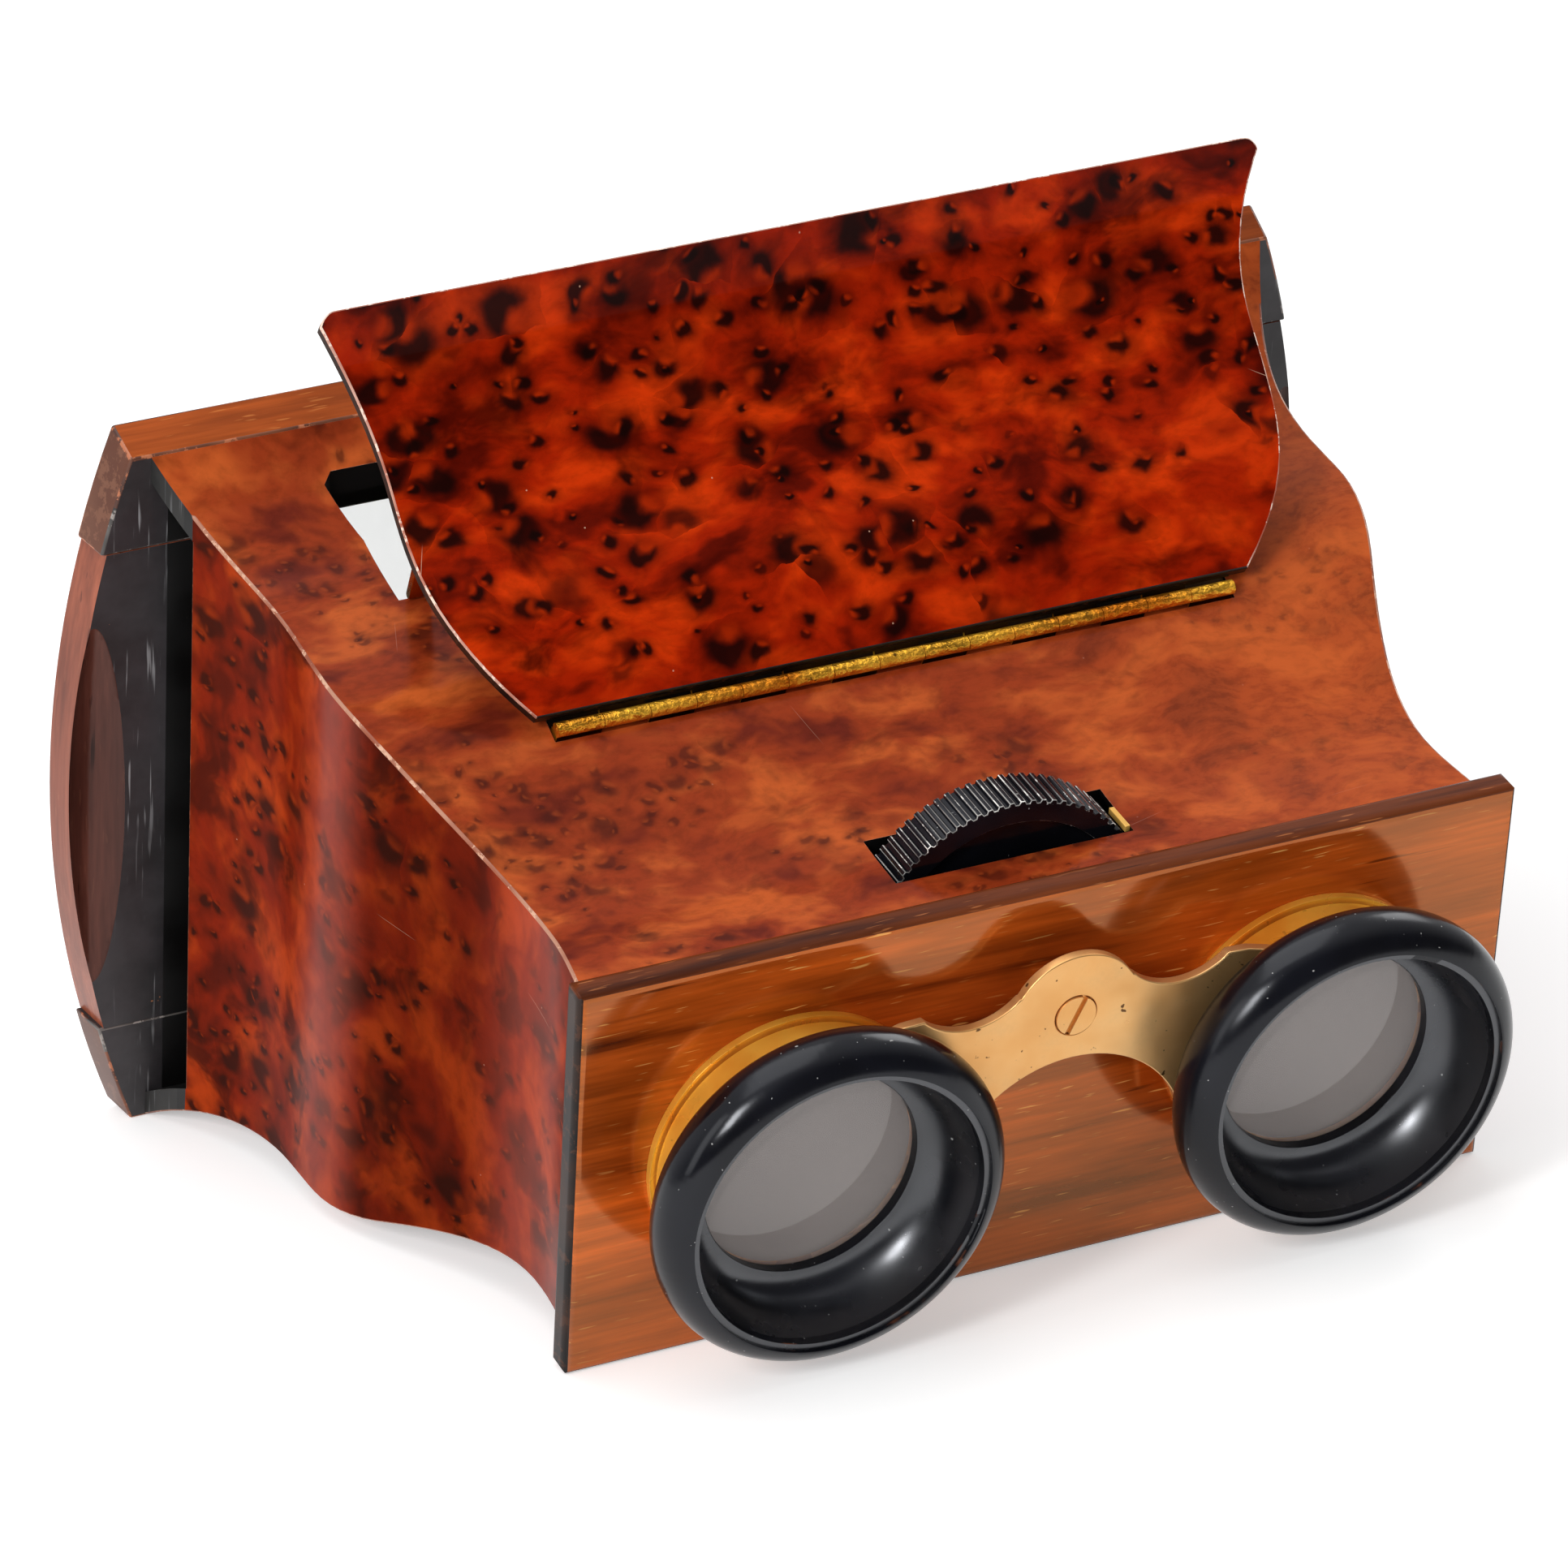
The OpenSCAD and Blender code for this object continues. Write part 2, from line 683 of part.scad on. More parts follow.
// Alternate knuckles with the webs that join them to a leaf, from u0 to u1 behind the axis
module hinge_knuckles(first, u0, u1, w0, rise) {
    pitch = hinge_len / knuckles;
    for (i = [first : 2 : knuckles - 1]) translate([-hinge_len / 2 + i * pitch + knuckle_play / 2, 0, 0]) {
        rotate([0, 90, 0]) cylinder(r = knuckle_r, h = pitch - knuckle_play, $fn = 48);
        translate([0, u0, w0]) cube([pitch - knuckle_play, u1 - u0, rise]);
    }
}

// Leaf with every other knuckle, counted from first; web_h is the height of the webs at the knuckles
module hinge_leaf(first, w0, web_u0, web_h) {
    difference() {
        union() {
            translate([-hinge_len / 2, leaf_u0, w0]) cube([hinge_len, leaf_u1 - leaf_u0, leaf_t]);
            hinge_knuckles(first, web_u0, leaf_u0 + weld, w0, leaf_t);
            hinge_knuckles(first, web_u0, leaf_u0 - web_clear, w0, web_h);
        }
        rotate([0, 90, 0]) cylinder(r = pin_r, h = 2 * hinge_len, center = true, $fn = 32);
        for (x = hinge_screw_xs) translate([x, hinge_screw_u, w0 - cut])
            cylinder(r = hinge_head_r + seat_gap, h = leaf_t + 2 * cut, $fn = 32);
    }
}

module hinge_body_leaf() {
    color([0.8, 0.6, 0.25]) stand() hinge_frame() hinge_leaf(0, body_leaf_w, web_front, web_rise);
}

module hinge_lid_leaf() {
    color([0.8, 0.6, 0.25]) stand() swing_open() hinge_frame() hinge_leaf(1, lid_leaf_w, 0, leaf_t);
}

module hinge_pin() {
    color([0.7, 0.55, 0.3]) stand() translate([0, hinge_y, hinge_z]) rotate([0, 90, 0])
        cylinder(r = pin_r - seat_gap, h = hinge_len, center = true, $fn = 32);
}

// Small round-headed screws sunk in a leaf, their shanks going down (-1) or up (1)
module leaf_screws(w0, way, reach) {
    for (x = hinge_screw_xs) translate([x, hinge_screw_u, 0]) {
        translate([0, 0, w0]) cylinder(r = hinge_head_r, h = leaf_t, $fn = 32);
        translate([0, 0, way > 0 ? w0 + leaf_t : w0 - reach])
            cylinder(r = hinge_screw_r - seat_gap, h = reach, $fn = 24);
    }
}

module hinge_body_screws() {
    color([0.75, 0.55, 0.25]) stand() hinge_frame() leaf_screws(body_leaf_w, -1, body_screw_reach);
}

module hinge_lid_screws() {
    color([0.75, 0.55, 0.25]) stand() swing_open() hinge_frame() leaf_screws(lid_leaf_w, 1, lid_screw_reach);
}

// Two ears under the lid that carry the prop
module prop_bracket() {
    color([0.75, 0.55, 0.22]) stand() swing_open() difference() {
        for (x0 = [prop_x - ear_half, prop_x + ear_half - ear_t]) {
            translate([x0, prop_pivot_y, pivot_closed[1]]) rotate([0, 90, 0])
                cylinder(r = prop_eye_r, h = ear_t, $fn = 32);
            translate([x0, prop_pivot_y - prop_eye_r, pivot_closed[1]])
                cube([ear_t, 2 * prop_eye_r, prop_pivot_drop + lid_t]);
        }
        translate([prop_x - prop_w, prop_pivot_y, pivot_closed[1]]) rotate([0, 90, 0])
            cylinder(r = prop_pin_r, h = 2 * prop_w, $fn = 32);
        curved_band(top_line, lid_ys, move_gap, 4 * (lid_t + prop_pivot_drop), 2 * frame_w);
    }
}

module prop_pin() {
    color([0.7, 0.52, 0.25]) stand() swing_open()
        translate([prop_x - ear_half, prop_pivot_y, pivot_closed[1]]) rotate([0, 90, 0])
            cylinder(r = prop_pin_r - seat_gap, h = 2 * ear_half, $fn = 32);
}

// Brass leg that holds the lid up; it folds against the lid as the lid goes down
module lid_prop() {
    color([0.7, 0.5, 0.2]) stand() translate([prop_x, pivot_rest[0], pivot_rest[1]])
        rotate([prop_angle, 0, 0]) difference() {
            union() {
                rotate([0, 90, 0]) cylinder(r = prop_eye_r, h = prop_w, center = true, $fn = 32);
                translate([-prop_w / 2, 0, -prop_t / 2]) cube([prop_w, prop_len, prop_t]);
                translate([0, prop_len, 0]) rotate([0, 90, 0])
                    cylinder(r = prop_t / 2, h = prop_w, center = true, $fn = 32);
            }
            rotate([0, 90, 0])
                cylinder(r = prop_pin_r + fit_gap, h = 2 * prop_w, center = true, $fn = 32);
        }
}

// Ridged rim of the wheel, four points to a ridge
module ridged_disc() {
    polygon([for (i = [0 : ridges - 1], p = ridge_shape)
        let (a = (i + p[0]) * 360 / ridges, r = wheel_r - p[1] * ridge_depth)
        [r * cos(a), r * sin(a)]]);
}

module focus_wheel() {
    color([0.05, 0.05, 0.055]) stand() difference() {
        translate([0, wheel_y0 + wheel_w, spindle_z]) rotate([90, 0, 0])
            linear_extrude(height = wheel_w) ridged_disc();
        bar(recess_r, wheel_y0 - cut, wheel_y0 + recess_d, 0, spindle_z);
        bar(hub_r + seat_gap, wheel_y0 - cut, wheel_y0 + wheel_w + cut, 0, spindle_z);
    }
}

// Brass nut inside the wheel; its two journals turn in the bracket
module wheel_hub() {
    y0 = board_t + journal_gap;
    y1 = board_t + bracket_t + journal_gap;
    y2 = bracket_y1 - bracket_t - journal_gap;
    color([0.75, 0.56, 0.24]) stand() difference() {
        union() {
            bar(hub_r, y1, y2, 0, spindle_z);
            bar(journal_r, y0, bracket_y1 - journal_gap, 0, spindle_z);
        }
        bar(spindle_r + fit_gap, 0, bracket_y1 + cut, 0, spindle_z);
    }
}

module wheel_bracket() {
    leg_h = bracket_top - bracket_z0;
    rear_leg_y = bracket_y1 - bracket_t;
    color([0.72, 0.54, 0.25]) stand() difference() {
        union() {
            translate([-bracket_w / 2, board_t, bracket_z0]) cube([bracket_w, bracket_t, leg_h]);
            translate([-bracket_foot_w / 2, board_t, bracket_z0])
                cube([bracket_foot_w, bracket_t, 2 * (bracket_screw_z - bracket_z0)]);
            translate([-bracket_w / 2, board_t, bracket_z0])
                cube([bracket_w, bracket_y1 - board_t, bracket_t]);
            translate([-bracket_w / 2, rear_leg_y, bracket_z0]) cube([bracket_w, bracket_t, leg_h]);
        }
        bar(journal_r + fit_gap, board_t - cut, board_t + bracket_t + cut, 0, spindle_z);
        bar(journal_r + fit_gap, rear_leg_y - cut, bracket_y1 + cut, 0, spindle_z);
        for (sx = [-1, 1])
            bar(bracket_screw_r, board_t - cut, board_t + bracket_t + cut,
                sx * bracket_screw_x, bracket_screw_z);
    }
}

module bracket_screws() {
    head_y = board_t + bracket_t;
    color([0.75, 0.55, 0.25]) stand() for (sx = [-1, 1]) {
        bar(bracket_screw_r - seat_gap, board_t - bracket_screw_in + screw_room, head_y,
            sx * bracket_screw_x, bracket_screw_z);
        bar(bracket_head_r, head_y, head_y + bracket_head_t, sx * bracket_screw_x, bracket_screw_z);
    }
}

// Brass strip let into the right-hand end of the wheel slot
module slot_strip() {
    color([0.85, 0.65, 0.3]) stand()
        translate([wheel_slot_half - strip_w, strip_y0, strip_z1 - strip_t])
            cube([strip_w, strip_len, strip_t]);
}

// Spindle that the wheel screws in and out; its front end carries the bridge
module focus_spindle() {
    front = plate_t - plate_front;
    color([0.76, 0.58, 0.28]) stand() difference() {
        union() {
            bar(spindle_r, front, spindle_rear, 0, spindle_z);
            bar(spindle_head_r, front, front + spindle_head_t, 0, spindle_z);
        }
        bar(bridge_screw_r, front - cut, front + screw_in, 0, spindle_z);
    }
}

// Web between the two rings of the bridge, before its curved edges are cut
module bridge_web() {
    half = [for (p = bridge_shoulder) [bridge_end_x - p[0], bridge_top_z - p[1]]];
    plate(-plate_front, plate_t - plate_front) polygon(concat(
        half,
        [for (i = [len(half) - 1 : -1 : 0]) [-half[i][0], half[i][1]]],
        [[-bridge_end_x, arch_z - arch_end_drop], [-arch_r, arch_z], [arch_r, arch_z],
            [bridge_end_x, arch_z - arch_end_drop]]
    ));
}

module bridge_plate() {
    y0 = -plate_front;
    y1 = plate_t - plate_front;
    color([0.85, 0.65, 0.35]) stand() difference() {
        union() {
            for (sx = [-1, 1]) bar(collar_r, y0, y1, sx * lens_spacing / 2);
            bar(boss_r, y0, y1, 0, spindle_z);
            bridge_web();
        }
        for (sx = [-1, 1]) bar(fillet_r, y0 - cut, y1 + cut, sx * fillet_x, fillet_z);
        bar(arch_r, y0 - cut, y1 + cut, 0, arch_z);
        for (sx = [-1, 1]) bar(tube_r + seat_gap, y0 - cut, y1 + cut, sx * lens_spacing / 2);
        bar(bridge_screw_r + screw_room, y0 - cut, y1 + cut, 0, spindle_z);
        bar(screw_head_r + screw_room, y0 - cut, y0 + screw_head_t - screw_proud, 0, spindle_z);
    }
}

module bridge_screw() {
    head_y = -plate_front - screw_proud;
    color([0.8, 0.6, 0.3]) stand() difference() {
        union() {
            bar(screw_head_r, head_y, head_y + screw_head_t, 0, spindle_z);
            bar(bridge_screw_r - seat_gap, head_y + screw_head_t, screw_in - plate_front, 0, spindle_z);
        }
        translate([0, head_y, spindle_z]) rotate([0, -screw_slot_turn, 0])
            translate([-screw_head_r - cut, -cut, -screw_slot_w / 2])
                cube([2 * (screw_head_r + cut), cut + screw_slot_d, screw_slot_w]);
    }
}

// Sliding tube with its collar and the inner shoulder that the lens lies on
module draw_tube(x) {
    in_r = tube_r - tube_wall;
    turned(x) {
        translate([in_r, -tube_rear]) square([tube_wall, tube_rear + tube_front]);
        translate([shoulder_in_r, shoulder_h - shoulder_t])
            square([in_r - shoulder_in_r + weld, shoulder_t]);
        translate([tube_r - weld, collar_rear])
            square([collar_r - tube_r + weld, plate_front - plate_t - collar_rear]);
    }
}

module left_draw_tube() {
    color([0.8, 0.6, 0.25]) stand() draw_tube(-lens_spacing / 2);
}

module right_draw_tube() {
    color([0.8, 0.6, 0.25]) stand() draw_tube(lens_spacing / 2);
}

// Fixed sleeve in the lens board that a draw tube slides in
module sleeve(x) {
    in_r = tube_r + fit_gap;
    turned(x) {
        translate([in_r, -sleeve_rear]) square([sleeve_wall, sleeve_rear + sleeve_flange_t]);
        translate([in_r, 0]) square([sleeve_flange_r - in_r, sleeve_flange_t]);
    }
}

module left_sleeve() {
    color([0.78, 0.58, 0.25]) stand() sleeve(-lens_spacing / 2);
}

module right_sleeve() {
    color([0.78, 0.58, 0.25]) stand() sleeve(lens_spacing / 2);
}

// Ring nut that draws a sleeve tight from inside
module sleeve_nut(x) {
    turned(x) translate([sleeve_r + seat_gap, -board_t - nut_t])
        square([nut_r - sleeve_r - seat_gap, nut_t]);
}

module left_sleeve_nut() {
    color([0.76, 0.57, 0.26]) stand() sleeve_nut(-lens_spacing / 2);
}

module right_sleeve_nut() {
    color([0.76, 0.57, 0.26]) stand() sleeve_nut(lens_spacing / 2);
}

// Eyecup: rounded lip, bowl, and a nose that holds the lens in its tube
module eyecup(x) {
    in_r = tube_r - tube_wall;
    bowl_points = 12;
    difference() {
        union() {
            turned(x) translate([lip_centre_r, lip_centre_h]) circle(r = lip_r, $fn = 72);
            turned(x) polygon([
                [cup_in_r - cut, nose_h], [in_r - fit_gap, nose_h], [in_r - fit_gap, tube_front],
                [tube_r + seat_gap, tube_front], [tube_r + seat_gap, plate_front],
                [cup_back_r, plate_front],
                [cup_back_r + cup_back_cove[0], plate_front + cup_back_cove[1]],
                [lip_centre_r, lip_centre_h], [cup_in_r - cut, lip_centre_h]
            ]);
        }
        turned(x) polygon(concat(
            [[0, nose_h - cut], [cup_in_r, nose_h - cut]],
            [for (i = [0 : bowl_points]) let (t = 90 * i / bowl_points)
                [cup_in_r + (bowl_r - cup_in_r) * sin(t), ledge_h + (bowl_h - ledge_h) * (1 - cos(t))]],
            [[bowl_r, step_h], [step_r, step_h], [step_r, cup_front + cut], [0, cup_front + cut]]
        ));
    }
}

module left_eyecup() {
    color([0.04, 0.04, 0.05]) stand() eyecup(-lens_spacing / 2);
}

module right_eyecup() {
    color([0.04, 0.04, 0.05]) stand() eyecup(lens_spacing / 2);
}

// Magnifier, curved on both faces
module magnifier(x) {
    centre = lens_curve_r - lens_face(0);
    turned(x) intersection() {
        translate([0, lens_mid + centre]) circle(r = lens_curve_r, $fn = 360);
        translate([0, lens_mid - centre]) circle(r = lens_curve_r, $fn = 360);
        translate([0, lens_mid - lens_r]) square([lens_r, 2 * lens_r]);
    }
}

module left_lens() {
    color([0.75, 0.8, 0.76, 0.5]) stand() magnifier(-lens_spacing / 2);
}

module right_lens() {
    color([0.75, 0.8, 0.76, 0.5]) stand() magnifier(lens_spacing / 2);
}

lens_board();
top_panel();
bottom_panel();
left_side();
right_side();
septum();
rear_top_rail();
rear_bottom_rail();
rear_left_stile();
rear_right_stile();
rear_glass();
glass_beads();
lid();
lid_mirror();
hinge_body_leaf();
hinge_lid_leaf();
hinge_pin();
hinge_body_screws();
hinge_lid_screws();
prop_bracket();
prop_pin();
lid_prop();
focus_wheel();
wheel_hub();
wheel_bracket();
bracket_screws();
slot_strip();
focus_spindle();
bridge_plate();
bridge_screw();
left_draw_tube();
right_draw_tube();
left_sleeve();
right_sleeve();
left_sleeve_nut();
right_sleeve_nut();
left_eyecup();
right_eyecup();
left_lens();
right_lens();
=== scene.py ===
"""Looks of the stereoscope: varnished burl, rosewood, lacquered brass, black hard rubber and glass.

Every piece is a copy of its CAD node, cleaned, with rounded edges and its own procedural material.
Faces and patterns are chosen in the instrument's own axes: X right, Y to the rear along the
optical axis, Z up from it. BODY turns those axes into the row frame, and LID does so for the open lid.
"""

import json
import math

import bmesh
import bpy
from mathutils import Matrix, Quaternion, Vector

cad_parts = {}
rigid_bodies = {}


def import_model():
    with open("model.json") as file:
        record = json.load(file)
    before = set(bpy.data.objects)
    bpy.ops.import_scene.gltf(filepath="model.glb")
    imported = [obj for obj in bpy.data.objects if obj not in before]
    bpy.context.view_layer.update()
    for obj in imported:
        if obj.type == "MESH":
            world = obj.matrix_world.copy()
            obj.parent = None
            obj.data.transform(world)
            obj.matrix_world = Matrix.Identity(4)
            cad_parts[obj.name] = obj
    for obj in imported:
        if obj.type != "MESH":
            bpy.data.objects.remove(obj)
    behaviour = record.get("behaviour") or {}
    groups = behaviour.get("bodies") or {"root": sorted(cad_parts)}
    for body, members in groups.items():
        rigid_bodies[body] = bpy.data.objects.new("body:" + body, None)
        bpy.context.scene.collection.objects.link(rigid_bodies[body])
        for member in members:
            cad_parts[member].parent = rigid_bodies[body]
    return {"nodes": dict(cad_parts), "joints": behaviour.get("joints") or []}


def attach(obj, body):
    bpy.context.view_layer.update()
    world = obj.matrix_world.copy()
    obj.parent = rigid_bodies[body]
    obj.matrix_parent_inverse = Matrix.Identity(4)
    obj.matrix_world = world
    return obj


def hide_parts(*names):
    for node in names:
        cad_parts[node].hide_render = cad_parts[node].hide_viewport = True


for left_over in list(bpy.data.objects):
    bpy.data.objects.remove(left_over)
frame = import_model()
bpy.context.view_layer.update()

MM = 0.001

# Camera, fitted to the photograph
CAMERA_AT = Vector((-469.1, -1020.0, 490.7)) * MM
CAMERA_TOWARDS = Vector((0.38065, 0.85151, -0.3606))
CAMERA_ROLL = math.radians(-3.131)
FOCAL_PX = 10600
PHOTO_PX = 1932
SENSOR_MM = 36
NEAREST_SEEN = 0.05
FARTHEST_SEEN = 20

# Studio, in metres
FLOOR_SIZE = 14
FLOOR_GLOW = 0.42
ROOM_LIGHT = 0.55
PALE = (0.8, 0.8, 0.8)

# Places along the instrument's axes, in metres
WHEEL_FRONT = Vector((0, 14.3, 15.2)) * MM
LENS_X = 39 * MM
BODY_LENGTH = 110 * MM
BODY_WIDTH = 160 * MM
BOARD_BACK_Y = 6 * MM
SIDE_END_Y = 103.2 * MM
FRAME_FRONT_Y = 110.7 * MM
LID_OPEN = math.radians(35.8)

# Limits that tell one face or edge of a piece from another
UPWARD = 0.3
OPENINGS_X = 64 * MM
OUTLINE_X = 64.5 * MM
# Out to this X the black stain is near black, painted shade under the top's overhang
SHADE_UNDER_TOP_X = 84.2 * MM
TOP_LOWEST_Z = 20 * MM
WINDOW_Z = 41 * MM
SLOT_Z = 46 * MM
SCOOP_Z = 34 * MM
SCOOP_DEPTH = 3 * MM
STILE_INSIDE_X = 76 * MM
STILE_RUBBED_X = 82 * MM
KNUCKLE_RADIUS = 1.15 * MM
CUP_BORE_RADIUS = 20.8 * MM
CUP_LIP_RADIUS = 22 * MM
CUP_LIP_Y = -17 * MM

# Limits for the cleaning of a mesh, and the depth of ripples and grain
SAME_POINT = 0.002 * MM
SAME_PLANE = math.radians(0.05)
RELIEF = 0.02 * MM


def joint(name):
    return next(j for j in frame["joints"] if j["name"] == name)


def body_axes():
    """Matrix from the instrument's own axes to the row frame, read from the focusing wheel's joint."""
    wheel = joint("focus_wheel_turn")
    along = Vector(wheel["axis"])
    turn = Matrix.Rotation(math.atan2(along.z, along.y), 4, "X")
    return Matrix.Translation(Vector(wheel["pos_m"]) - turn @ WHEEL_FRONT) @ turn


def lid_axes():
    """The body's axes, swung about the lid hinge as the lid is."""
    swing = Matrix.Translation(HINGE) @ Matrix.Rotation(LID_OPEN, 4, "X") @ Matrix.Translation(-HINGE)
    return BODY @ swing


BODY = body_axes()
HINGE = BODY.inverted() @ Vector(joint("lid_hinge")["pos_m"])
LID = lid_axes()


# Node trees

class Nodes:
    """Short calls that build a node tree; all but put and node return output sockets."""

    def __init__(self, tree):
        self.tree = tree
        tree.nodes.clear()

    def put(self, socket, value):
        """Links a socket to an input, or sets its value; three numbers may stand for a colour."""
        if isinstance(value, bpy.types.NodeSocket):
            self.tree.links.new(value, socket)
        elif isinstance(value, tuple) and len(value) == 3 and socket.type == "RGBA":
            socket.default_value = (*value, 1)
        else:
            socket.default_value = value

    def node(self, kind, inputs=(), **settings):
        """A new node; inputs gives values or sockets by the name or number of an input."""
        made = self.tree.nodes.new(kind)
        for key, value in settings.items():
            setattr(made, key, value)
        for key, value in dict(inputs).items():
            self.put(made.inputs[key], value)
        return made

    def math(self, operation, a, b=0.0):
        return self.node("ShaderNodeMath", {0: a, 1: b}, operation=operation).outputs[0]

    def times(self, a, b):
        return self.math("MULTIPLY", a, b)

    def line(self, value, slope, lift):
        """value times slope plus lift."""
        return self.math("ADD", self.times(value, slope), lift)

    def vector_math(self, operation, a, b=(0, 0, 0)):
        made = self.node("ShaderNodeVectorMath", {0: a, 1: b}, operation=operation)
        return made.outputs["Value" if operation in ("LENGTH", "DOT_PRODUCT") else 0]

    def scaled(self, a, scale):
        """The vector a times a number."""
        return self.node("ShaderNodeVectorMath", {0: a, "Scale": scale}, operation="SCALE").outputs[0]

    def vector(self, x, y):
        return self.node("ShaderNodeCombineXYZ", {0: x, 1: y}).outputs[0]

    def axis(self, place, letter):
        return self.node("ShaderNodeSeparateXYZ", {0: place}).outputs[letter]

    def stretch(self, place, scale, turn=(0, 0, 0), move=(0, 0, 0)):
        made = self.node("ShaderNodeMapping", {
            "Vector": place, "Location": move, "Rotation": turn, "Scale": scale})
        return made.outputs[0]

    def noise(self, place, scale, detail=3.0, rough=0.5, distort=0.0, colour=False):
        """Noise with scale patches to the metre."""
        made = self.node("ShaderNodeTexNoise", {
            "Vector": place, "Scale": scale, "Detail": detail, "Roughness": rough, "Distortion": distort})
        return made.outputs["Color" if colour else "Fac"]

    def warp(self, place, scale, reach):
        """place, pushed about by noise of that scale by up to half of reach."""
        push = self.noise(place, scale, 2, colour=True)
        centred = self.vector_math("SUBTRACT", push, (0.5, 0.5, 0.5))
        return self.vector_math("ADD", place, self.scaled(centred, reach))

    def cells(self, place, scale):
        """For flat cells: the vector from the cell's middle, that middle, and three chances."""
        made = self.node("ShaderNodeTexVoronoi", {"Vector": place, "Scale": scale}, voronoi_dimensions="2D")
        chances = self.node("ShaderNodeSeparateColor", {0: made.outputs["Color"]}).outputs
        middle = made.outputs["Position"]
        return self.vector_math("SUBTRACT", place, middle), middle, chances

    def ramp(self, value, *stops, smooth=True):
        """Each stop is a place from 0 to 1 and the level or colour there."""
        made = self.node("ShaderNodeValToRGB", {0: value})
        made.color_ramp.interpolation = "EASE" if smooth else "LINEAR"
        marks = made.color_ramp.elements
        while len(marks) < len(stops):
            marks.new(0.5)
        for mark, (at, level) in zip(marks, stops):
            mark.position = at
            mark.color = (*level, 1) if isinstance(level, tuple) else (level, level, level, 1)
        return made.outputs[0]

    def mix(self, share, a, b, way="MIX"):
        """Colour a where share is 0 and b where it is 1."""
        return self.node("ShaderNodeMix", {0: share, 6: a, 7: b}, data_type="RGBA", blend_type=way).outputs[2]

    def mix_shaders(self, share, a, b):
        return self.node("ShaderNodeMixShader", {0: share, 1: a, 2: b}).outputs[0]

    def bump(self, height, strength, depth):
        made = self.node("ShaderNodeBump", {"Strength": strength, "Distance": depth, "Height": height})
        return made.outputs[0]


class Graph(Nodes):
    """One procedural material, with its patterns laid out in the given axes."""

    def __init__(self, name, axes=BODY):
        self.material = bpy.data.materials.new(name)
        self.material.use_nodes = True
        super().__init__(self.material.node_tree)
        self.shader = self.node("ShaderNodeBsdfPrincipled")
        self.out = self.node("ShaderNodeOutputMaterial", {"Surface": self.shader.outputs[0]})
        own = self.node("ShaderNodeTexCoord").outputs["Object"]
        back = axes.inverted()
        self.place = self.stretch(own, (1, 1, 1), back.to_euler(), back.translation)

    def set(self, **values):
        """Values or sockets for the shader, by the name of its input."""
        for key, value in values.items():
            self.put(self.shader.inputs[key.replace("_", " ")], value)


def srgb(r, g, b):
    """A colour as it looks on screen, 0 to 255, as linear light."""
    def linear(v):
        v /= 255
        return v / 12.92 if v <= 0.04045 else ((v + 0.055) / 1.055) ** 2.4
    return (linear(r), linear(g), linear(b))


def darker(colour, share):
    return tuple(v * share for v in colour)


# Burl veneer

def flat_place(g, plane):
    """Coordinates in the sheet of veneer: X and Y for the top and the lid, Y and Z for the sides."""
    if plane == "side":
        return g.vector(g.axis(g.place, "Y"), g.axis(g.place, "Z"))
    return g.vector(g.axis(g.place, "X"), g.axis(g.place, "Y"))


def varnish(g, haze, ripple, gloss, coat=1.0):
    """Clear coat over wood, with faint ripples; gloss is its index of refraction."""
    peel = g.noise(g.place, 350, 2)
    g.set(Coat_Weight=coat, Coat_Roughness=haze, Coat_IOR=gloss, Coat_Normal=g.bump(peel, ripple, RELIEF))
    g.set(Roughness=0.5, Specular_IOR_Level=0.0)


def knots(g, place, scale, size, crowd, thicken):
    """Crescent knots: how dark, how deep in the soft halo, and how much in the pale eye.
    A lower crowd lets more of them stand; with thicken they stand closer towards the rear."""
    away, middle, chance = g.cells(place, scale)
    radius = g.line(chance[2], 0.75 * size, 0.5 * size)
    open_x = g.line(chance[0], 1.8, -0.9)
    open_y = g.line(chance[1], 1.5, -0.35)
    towards = g.vector_math("NORMALIZE", g.vector(open_x, open_y))
    bite = g.scaled(towards, g.times(radius, 0.72))
    near = g.math("DIVIDE", g.vector_math("LENGTH", away), radius)
    inner = g.math("DIVIDE", g.vector_math("LENGTH", g.vector_math("SUBTRACT", away, bite)), radius)
    disc = g.ramp(near, (0.45, 1.0), (1.0, 0.0))
    hollow = g.ramp(inner, (0.28, 0.0), (0.75, 1.0))
    gathered = g.noise(g.vector_math("ADD", middle, (0.3, 0.1, 0)), 38, 2, 0.8)
    rearward = g.line(g.axis(middle, "Y"), thicken / BODY_LENGTH, -0.75 * thicken)
    chosen = g.ramp(g.math("ADD", gathered, rearward), (crowd, 0.0), (crowd + 0.05, 1.0))
    halo = g.times(g.ramp(g.times(near, 0.5), (0.25, 1.0), (0.95, 0.0)), chosen)
    spot = g.times(g.times(disc, hollow), chosen)
    eye = g.times(g.times(disc, g.math("SUBTRACT", 1.0, hollow)), chosen)
    return spot, halo, eye


def scratches(g, place, scale, length, width, rare):
    """Separate straight hairlines, one at most in each cell."""
    away, _, chance = g.cells(place, scale)
    along = g.vector_math("NORMALIZE", g.vector(g.line(chance[0], 2, -0.8), g.line(chance[1], 2, -1)))
    reach = g.vector_math("DOT_PRODUCT", away, along)
    beside = g.vector_math("LENGTH", g.vector_math("SUBTRACT", away, g.scaled(along, reach)))
    thin = g.ramp(g.math("DIVIDE", beside, width), (0.3, 1.0), (1.0, 0.0))
    ends = g.ramp(g.math("DIVIDE", g.math("ABSOLUTE", reach), length), (0.4, 1.0), (1.0, 0.0))
    return g.times(g.times(thin, ends), g.math("GREATER_THAN", chance[2], rare))


